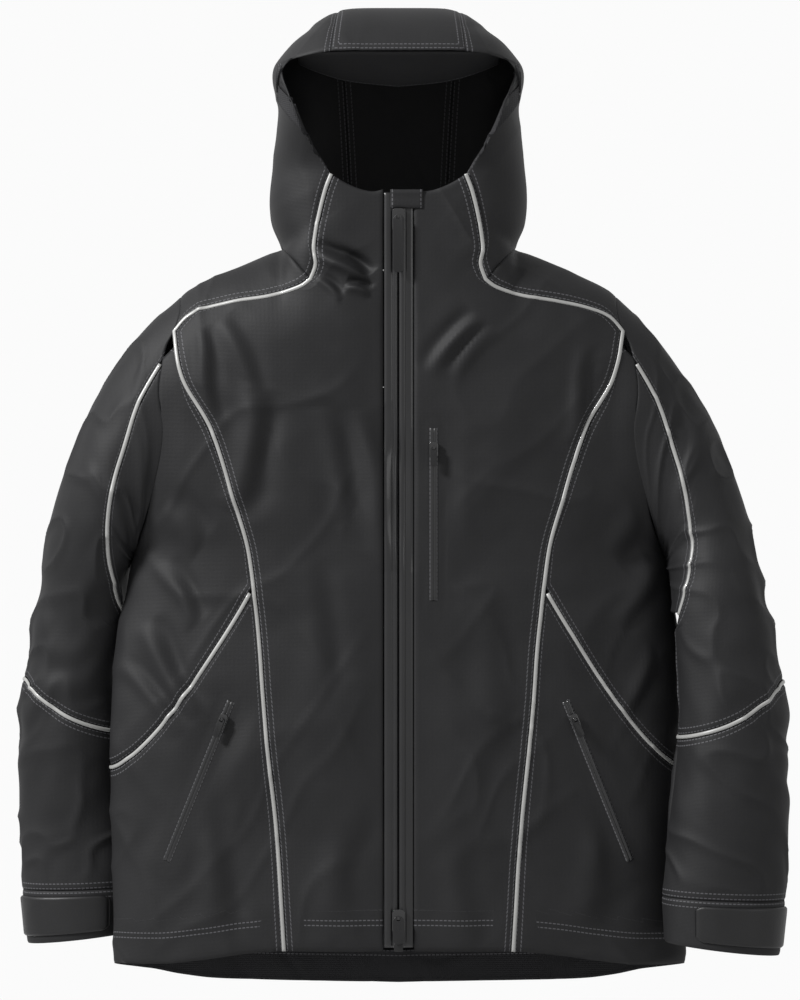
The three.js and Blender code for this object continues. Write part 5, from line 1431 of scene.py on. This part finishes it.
    def piping(self, name: str, chart: Array, bends: bool) -> None:
        """Lays piping along a run of the sleeve's chart."""
        obj = swept(f"{name}_cord", *self.cloth_line(chart), CORD)
        self.shop.dress(obj, PIPING, Slot.PIPING)
        if bends:
            self.shop.bend(obj, self.side, name)
        else:
            self.shop.ride(obj, "jacket", name)

    def cloth_line(self, chart: Array) -> tuple[Array, Array]:
        """Returns places and normals along a run of the chart."""
        place = self.surface(chart)
        normal = normals_of(self.surface, chart, SLEEVE_STEP)
        outward = place - self.surface(chart + np.array([180.0, 0.0]))
        normal *= np.where(np.sum(normal * outward, axis=-1, keepdims=True) < 0, -1.0, 1.0)
        place = place + normal * self.lift(chart, place)[..., None]
        flip = np.array([self.side.value, 1.0, 1.0])
        return place * flip, normal * flip

    def plate(self, name: str, start: float, end: float, body: str, *replaced: str) -> None:
        """One moulded plate lying round the cuff, rounded along its sides and at its outer end.

        Args:
            name: the object's name.
            start, end: the angles round the sleeve between which it lies, the outer end last.
            body: the body it rides on.
            replaced: the CAD node it stands for, if any.
        """
        u = np.linspace(0, 1, 49)[None, :]
        v = np.linspace(-1, 1, 25)[:, None]
        long = abs(end - start) * 0.86  # 0.86 mm to a degree, at the cuff's mean radius
        corner = np.clip((1 - u) * long / 8.0, 0, 1)
        narrow = 1 - 0.28 * (1 - corner) ** 2
        chart = np.stack([mix(start, end, 0.004 + 0.996 * u) + 0 * v, 12.49 + 0.37 * v * narrow], axis=-1)
        place, normal = self.cloth_line(chart)
        edge = np.clip(np.minimum((1 - np.abs(v)) / 0.12, (1 - u) * long / 3.2), 0, 1)
        ribs = 0.35 * np.maximum(np.sin(u * 150), 0)  # finger ribs near the end of a long plate
        ribs = ribs * smoothstep(u, 0.72, 0.76) * smoothstep(1 - u, 0.03, 0.06)
        ribs = ribs * smoothstep(1 - np.abs(v), 0.2, 0.3) * (long > 40)
        top = 0.9 + 1.5 * np.sqrt(1 - (1 - edge) ** 2) + ribs
        base = place + normal * 0.9
        outer = base + normal * (top - 0.5)[..., None]
        uv = np.stack([lengths(place, 1) * MM, lengths(place, 0) * MM], axis=-1)
        obj = shell_mesh(name, outer, base, uv)
        self.shop.dress(obj, RUBBER, Slot.MOULDING)
        self.shop.ride(obj, body, *replaced)

    def tab(self) -> None:
        """The cuff tab, and its sewn root, which stays on the cuff when the tab opens."""
        word = self.side.word
        self.plate(f"cuff_tab_{word}_moulding", 14.0, 120.0, f"cuff_tab_{word}", f"cuff_tab_{word}")
        self.plate(f"cuff_tab_{word}_root", 14.0, 1.0, f"forearm_{word}")

    def build(self) -> None:
        """Builds the sleeve."""
        word = self.side.word
        cuff_start, cuff_end = self.cuff
        forearm = self.tube_chart(self.elbow, cuff_start, 76)
        cuff = self.tube_chart(lambda angle: np.full_like(angle, cuff_start), cuff_end, 24)
        pieces = {
            "sleeve_upper": (self.upper_chart(), Edges(PIPED, PIPED, -0.4, PIPED, "lrb")),
            "sleeve_gusset": (self.gusset_chart(), Edges(PIPED, PIPED, -0.4, 0, "lr")),
            "forearm": (forearm, Edges(0.1, 0.1, PIPED, 0.1, "tb")),
            "cuff": (cuff, Edges(0.1, 0.1, 0.1, 0, "t")),
        }
        for name, (chart, edges) in pieces.items():
            obj = cloth_mesh(f"{name}_{word}_cloth", self.cloth(chart, edges), 0.9)
            self.shop.dress(obj, LAMINATE, Slot.SHELL, TRICOT)
            if name in ("sleeve_upper", "forearm"):
                self.shop.bend(obj, self.side, f"{name}_{word}")
            else:
                self.shop.ride(obj, f"forearm_{word}" if name == "cuff" else "jacket", f"{name}_{word}")
        along = np.linspace(0.06, self.gusset_end - 0.3, 120)
        self.piping(f"sleeve_piping_{word}", np.stack([self.gusset_angle(along), along], axis=-1), False)
        angle = np.linspace(-179, 179, 150)
        self.piping(f"forearm_piping_{word}", np.stack([angle, self.elbow(angle)], axis=-1), True)
        self.tab()


@dataclass
class FrontZip:
    """The front zip's tapes and the flaps over and under it."""

    torso: Torso
    tape_ends: tuple[float, float] = (64.0, -679.0)
    tape_sides: tuple[float, float] = (0.62, 14.4)

    def strip(self, name: str, left: float, right: float, top: float, bottom: float,
              rise: Callable[[Array, Array], Array], thickness: float, finish: Finish,
              slot: Slot) -> None:
        """Adds one flat strip along the middle of the front.

        Args:
            name: the CAD node.
            left, right: its two sides, in millimetres from the middle.
            top, bottom: its ends.
            rise: how far each point stands above the form, from its distance across and its height.
            thickness: of the strip.
            finish: the outer finish.
            slot: the record's slot.
        """
        form = self.torso.form
        x = np.linspace(left, right, 35)[None, :]
        z = np.linspace(top, bottom, max(int((top - bottom) / 2.4), 14))[:, None]
        pattern = np.stack(np.broadcast_arrays(x, z), axis=-1)
        chart = form.body_chart(pattern)
        place = form.on_body(chart)
        normal = normals_of(form.on_body, chart, BODY_STEP)
        normal *= np.where(normal[..., 1:2] > 0, -1.0, 1.0)
        lift = form.drape(place) + rise(pattern[..., 0], pattern[..., 1])
        obj = cloth_mesh(f"{name}_cloth", finish_cloth(place, normal, lift, "lr", 0.0), thickness)
        self.torso.shop.dress(obj, finish, slot, WOVEN_TAPE)
        self.torso.shop.ride(obj, "jacket", name)

    @staticmethod
    def left_tape(x: Array, z: Array) -> Array:
        """Returns the rise of the left tape: a raised coated strip, a crease and a flat margin."""
        strip = 1.25 * np.sqrt(np.clip(1 - ((x - 3.4) / 3.3) ** 2, 0, 1))
        return strip - 1.0 - 0.3 * np.exp(-(((x - 7.1) / 0.5) ** 2)) + 0.03 * noise(x, z, 9, 71)

    @staticmethod
    def right_tape(x: Array, z: Array) -> Array:
        """Returns the rise of the right tape, whose margin beyond the crease is domed."""
        strip = 1.15 * np.sqrt(np.clip(1 - ((x + 3.0) / 2.4) ** 2, 0, 1))
        side = 0.7 * np.sqrt(np.clip(1 - ((x + 10.4) / 3.9) ** 2, 0, 1))
        return strip + side - 1.0 - 0.3 * np.exp(-(((x + 5.7) / 0.6) ** 2)) + 0.03 * noise(x, z, 9, 72)

    @staticmethod
    def top_flap(x: Array, z: Array) -> Array:
        """Returns the rise of the flap over the zip's top, which lifts a little at its upper edge."""
        corner = np.clip(np.hypot(np.maximum(-x, 0), np.maximum(55 - z, 0)), 0, 9)
        return 1.9 - 0.02 * corner + 0.7 * smoothstep(z, 58, 66)

    def build(self) -> None:
        """Builds the tapes, the storm flap behind them and the flap over the top of the zip."""
        top, bottom = self.tape_ends
        near, far = self.tape_sides
        self.strip("zip_tape_left", near, far, top, bottom, self.left_tape, 0.4, COATED_TAPE,
                   Slot.TAPE)
        self.strip("zip_tape_right", -far, -near, top, bottom, self.right_tape, 0.4, COATED_TAPE,
                   Slot.TAPE)
        self.strip("storm_flap", -13, 25, 59, -677, lambda x, z: np.full_like(x, -4.8), 0.8, TRICOT,
                   Slot.LINING)
        self.strip("zip_garage", -8, 24, 66.5, 48, self.top_flap, 1.1, HEM_LAMINATE, Slot.SHELL)


@dataclass
class PocketZip:
    """A coated zip let into the front panel."""

    torso: Torso
    name: str
    side: Side
    ends: tuple[tuple[float, float], tuple[float, float]]
    half_width: float = 4.75

    def build(self) -> None:
        """Builds the strip: two coated lips that meet in a fine groove, with a stitched margin."""
        form = self.torso.form
        start, end = (np.array(point) for point in self.ends)
        run = (end - start) / np.linalg.norm(end - start)
        share = np.linspace(0, 1, 120)[:, None]
        u = np.linspace(-1, 1, 25)[None, :]
        sideways = np.array([-run[1], run[0]]) * (self.half_width * np.ones_like(share) * u)[..., None]
        spot = start + (end - start) * share[..., None] + sideways
        chart = form.body_chart(spot) * np.array([self.side.value, 1.0])
        place = form.on_body(chart)
        normal = normals_of(form.on_body, chart, BODY_STEP)
        normal *= np.where(normal[..., 1:2] > 0, -1.0, 1.0)
        lips = 1.0 + 0.35 * np.sqrt(np.clip(1 - ((np.abs(u) - 0.36) / 0.34) ** 2, 0, 1))
        groove, margin = 0.55 * np.exp(-((u / 0.07) ** 2)), 0.35 * smoothstep(np.abs(u), 0.72, 0.8)
        lift = form.drape(place) + lips - groove - margin
        obj = cloth_mesh(f"{self.name}_strip", finish_cloth(place, normal, lift, "lr", 0.05), 0.9)
        self.torso.shop.dress(obj, STITCHED_TAPE, Slot.TAPE, WOVEN_TAPE)
        self.torso.shop.ride(obj, "jacket", self.name)


@dataclass
class Inside:
    """The pieces sewn inside: the pocket bags, the facing inside the hem and the hang loop."""

    torso: Torso
    depth: float = 3.3  # how far behind the form the linings lie

    def bag(self, name: str, inner: float, outer: float, top: float, bottom: float, side: Side) -> None:
        """Adds a pocket bag behind the front panel."""
        pattern = np.stack(np.broadcast_arrays(np.linspace(inner, outer, 46)[None, :],
                                               np.linspace(top, bottom, 60)[:, None]), axis=-1)
        chart = self.torso.form.body_chart(pattern)
        cloth = self.torso.surface_cloth(chart, Edges(0, 0, 0, 0), side=side, depth=self.depth)
        obj = cloth_mesh(f"{name}_cloth", cloth, 0.7)
        self.torso.shop.dress(obj, TRICOT, Slot.LINING)
        self.torso.shop.ride(obj, "jacket", name)

    def facing(self) -> None:
        """Adds the facing turned up inside the hem, from one placket round to the other."""
        angle = np.linspace(5.4, 354.6, 420)[None, :]
        low = self.torso.form.hem_height(np.where(angle > 180, 360 - angle, angle))
        rise = np.linspace(33, 1, 16)[:, None]
        chart = np.stack(np.broadcast_arrays(angle, low + rise), axis=-1)
        cloth = self.torso.surface_cloth(chart, Edges(0, 0, 0, 0, "h"), depth=self.depth)
        obj = cloth_mesh("hem_facing_cloth", cloth, 0.7)
        self.torso.shop.dress(obj, HEM_TRICOT, Slot.LINING)
        self.torso.shop.ride(obj, "jacket", "hem_facing")

    def loop(self) -> None:
        """Adds the hang loop: a woven tape bowed off the back neck between its two sewn ends."""
        low, high = (np.array(corner) * 1000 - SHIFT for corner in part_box("hang_loop"))
        span, bow, height = high[0] - low[0], high[1] - low[1], (high[2] + low[2]) / 2
        share = np.linspace(-1, 1, 61)
        back = high[1] - 0.9 - (bow - 1.8) * (1 - np.abs(share) ** 2.6)
        path = np.stack([share * span / 2, back, np.full_like(share, height)], axis=-1)
        normal = np.cross(np.gradient(path, axis=0), np.array([0.0, 0.0, 1.0]))
        normal /= np.linalg.norm(normal, axis=-1, keepdims=True)
        obj = swept("hang_loop_tape", path, normal, slab(high[2] - low[2], -0.7, 0.7, 0.3))
        self.torso.shop.dress(obj, WOVEN_TAPE, Slot.WEBBING)
        self.torso.shop.ride(obj, "jacket", "hang_loop")

    def build(self) -> None:
        """Builds the inside pieces."""
        self.bag("chest_pocket_bag", 29, 140, -180, -385, Side.LEFT)
        for side in Side:
            self.bag(f"hand_pocket_bag_{side.word}", 100, 240, -440, -638, side)
        self.facing()
        self.loop()


@dataclass
class Hardware:
    """The sliders, their pulls and the box at the foot of the front zip."""

    shop: Workshop

    def piece(self, node: str, body: str, finish: Finish, slot: Slot, bevel: float) -> None:
        """Copies a hard CAD piece, rounds its edges and gives it a finish.

        Args:
            node: the CAD node.
            body: the body it rides on.
            finish: its finish.
            slot: the record's slot.
            bevel: radius of the rounded edges, in millimetres.
        """
        source = bpy.data.objects[node]
        mesh = source.data.copy()
        mesh.transform(source.matrix_world)
        mesh.name = f"{node}_body"
        work = bmesh.new()
        work.from_mesh(mesh)
        bmesh.ops.remove_doubles(work, verts=work.verts, dist=2e-5)
        bmesh.ops.dissolve_limit(work, angle_limit=math.radians(1), verts=work.verts, edges=work.edges)
        work.to_mesh(mesh)
        work.free()
        mesh.polygons.foreach_set("use_smooth", np.ones(len(mesh.polygons), bool))
        obj = bpy.data.objects.new(f"{node}_body", mesh)
        bpy.context.scene.collection.objects.link(obj)
        rounded = obj.modifiers.new("Rounded edges", "BEVEL")
        rounded.width, rounded.segments = bevel * MM, 2
        rounded.limit_method, rounded.angle_limit = "ANGLE", math.radians(28)
        rounded.harden_normals = True
        self.shop.dress(obj, finish, slot)
        self.shop.ride(obj, body, node)

    def build(self) -> None:
        """Builds every slider and pull."""
        for name in ("top", "bottom", "chest", "hand_left", "hand_right"):
            self.piece(f"{name}_slider", f"{name}_slider", ENAMEL, Slot.SLIDER, 0.35)
            self.piece(f"{name}_pull", f"{name}_pull", RUBBER, Slot.MOULDING, 0.4)
        self.piece("zip_box", "jacket", RUBBER, Slot.MOULDING, 0.35)


@dataclass
class Studio:
    """A pale floor, soft lights and the camera, in metres."""

    floor_half: float = 1.1
    floor_height: float = -1.1
    lens_mm: float = 144.0
    sensor_mm: float = 36.0
    camera_place: tuple[float, float, float] = (0.0015, -4.0443, -0.217)

    def floor(self) -> bpy.types.Object:
        """Returns a pale floor below the jacket."""
        square = np.array([(-1, -1, 0), (1, -1, 0), (1, 1, 0), (-1, 1, 0)], float)
        corners = square * self.floor_half + [0, 0, self.floor_height]
        floor = make_mesh("pale_floor", corners, np.array([[0, 1, 2, 3]]))
        floor.data.materials.append(PAPER.build())
        return floor

    def light(self, name: str, place: Sequence[float], watts: float, size: float) -> bpy.types.Object:
        """Returns a soft square lamp aimed at the middle of the jacket."""
        data = bpy.data.lights.new(name, "AREA")
        data.energy, data.size = watts, size
        lamp = bpy.data.objects.new(name, data)
        lamp.location = place
        toward = Vector((0.0, 0.0, -0.3)) - Vector(place)
        lamp.rotation_euler = toward.to_track_quat("-Z", "Y").to_euler()
        bpy.context.scene.collection.objects.link(lamp)
        return lamp

    def build(self) -> None:
        """Builds the studio and sets the camera straight in front, far off behind a long lens."""
        scene = bpy.context.scene
        world = bpy.data.worlds.new("studio")
        world.use_nodes = True
        background = world.node_tree.nodes["Background"]
        background.inputs["Color"].default_value = linear("#fbfbfb")
        background.inputs["Strength"].default_value = 1.0
        scene.world = world
        scene.view_settings.view_transform = "Standard"
        key = self.light("key", (-2.6, -1.6, 1.9), 330, 0.7)
        fill = self.light("fill", (2.4, -2.2, 0.3), 16, 1.2)
        data = bpy.data.cameras.new("camera")
        data.lens, data.sensor_width = self.lens_mm, self.sensor_mm
        camera = bpy.data.objects.new("camera", data)
        camera.location = self.camera_place
        camera.rotation_euler = (math.radians(90), 0, 0)
        scene.collection.objects.link(camera)
        scene.camera = camera
        self.floor()


def main() -> None:
    """Builds every sub-assembly in order, then the studio."""
    logging.basicConfig(level=logging.INFO, format="%(name)s: %(message)s")
    shop = Workshop()
    torso = Torso(FORM, shop)
    parts = [torso, Hood(torso), FrontZip(torso), PocketZip(torso, "chest_zip", Side.LEFT, CHEST_ZIP)]
    for side in Side:
        parts.append(PocketZip(torso, f"hand_{side.word}_zip", side, HAND_ZIP_LEFT))
        parts.append(Sleeve(FORM, shop, side))
    parts += [Inside(torso), Hardware(shop), Studio()]
    for part in parts:
        log.info("building %s", type(part).__name__)
        part.build()


if __name__ == "__main__":
    main()
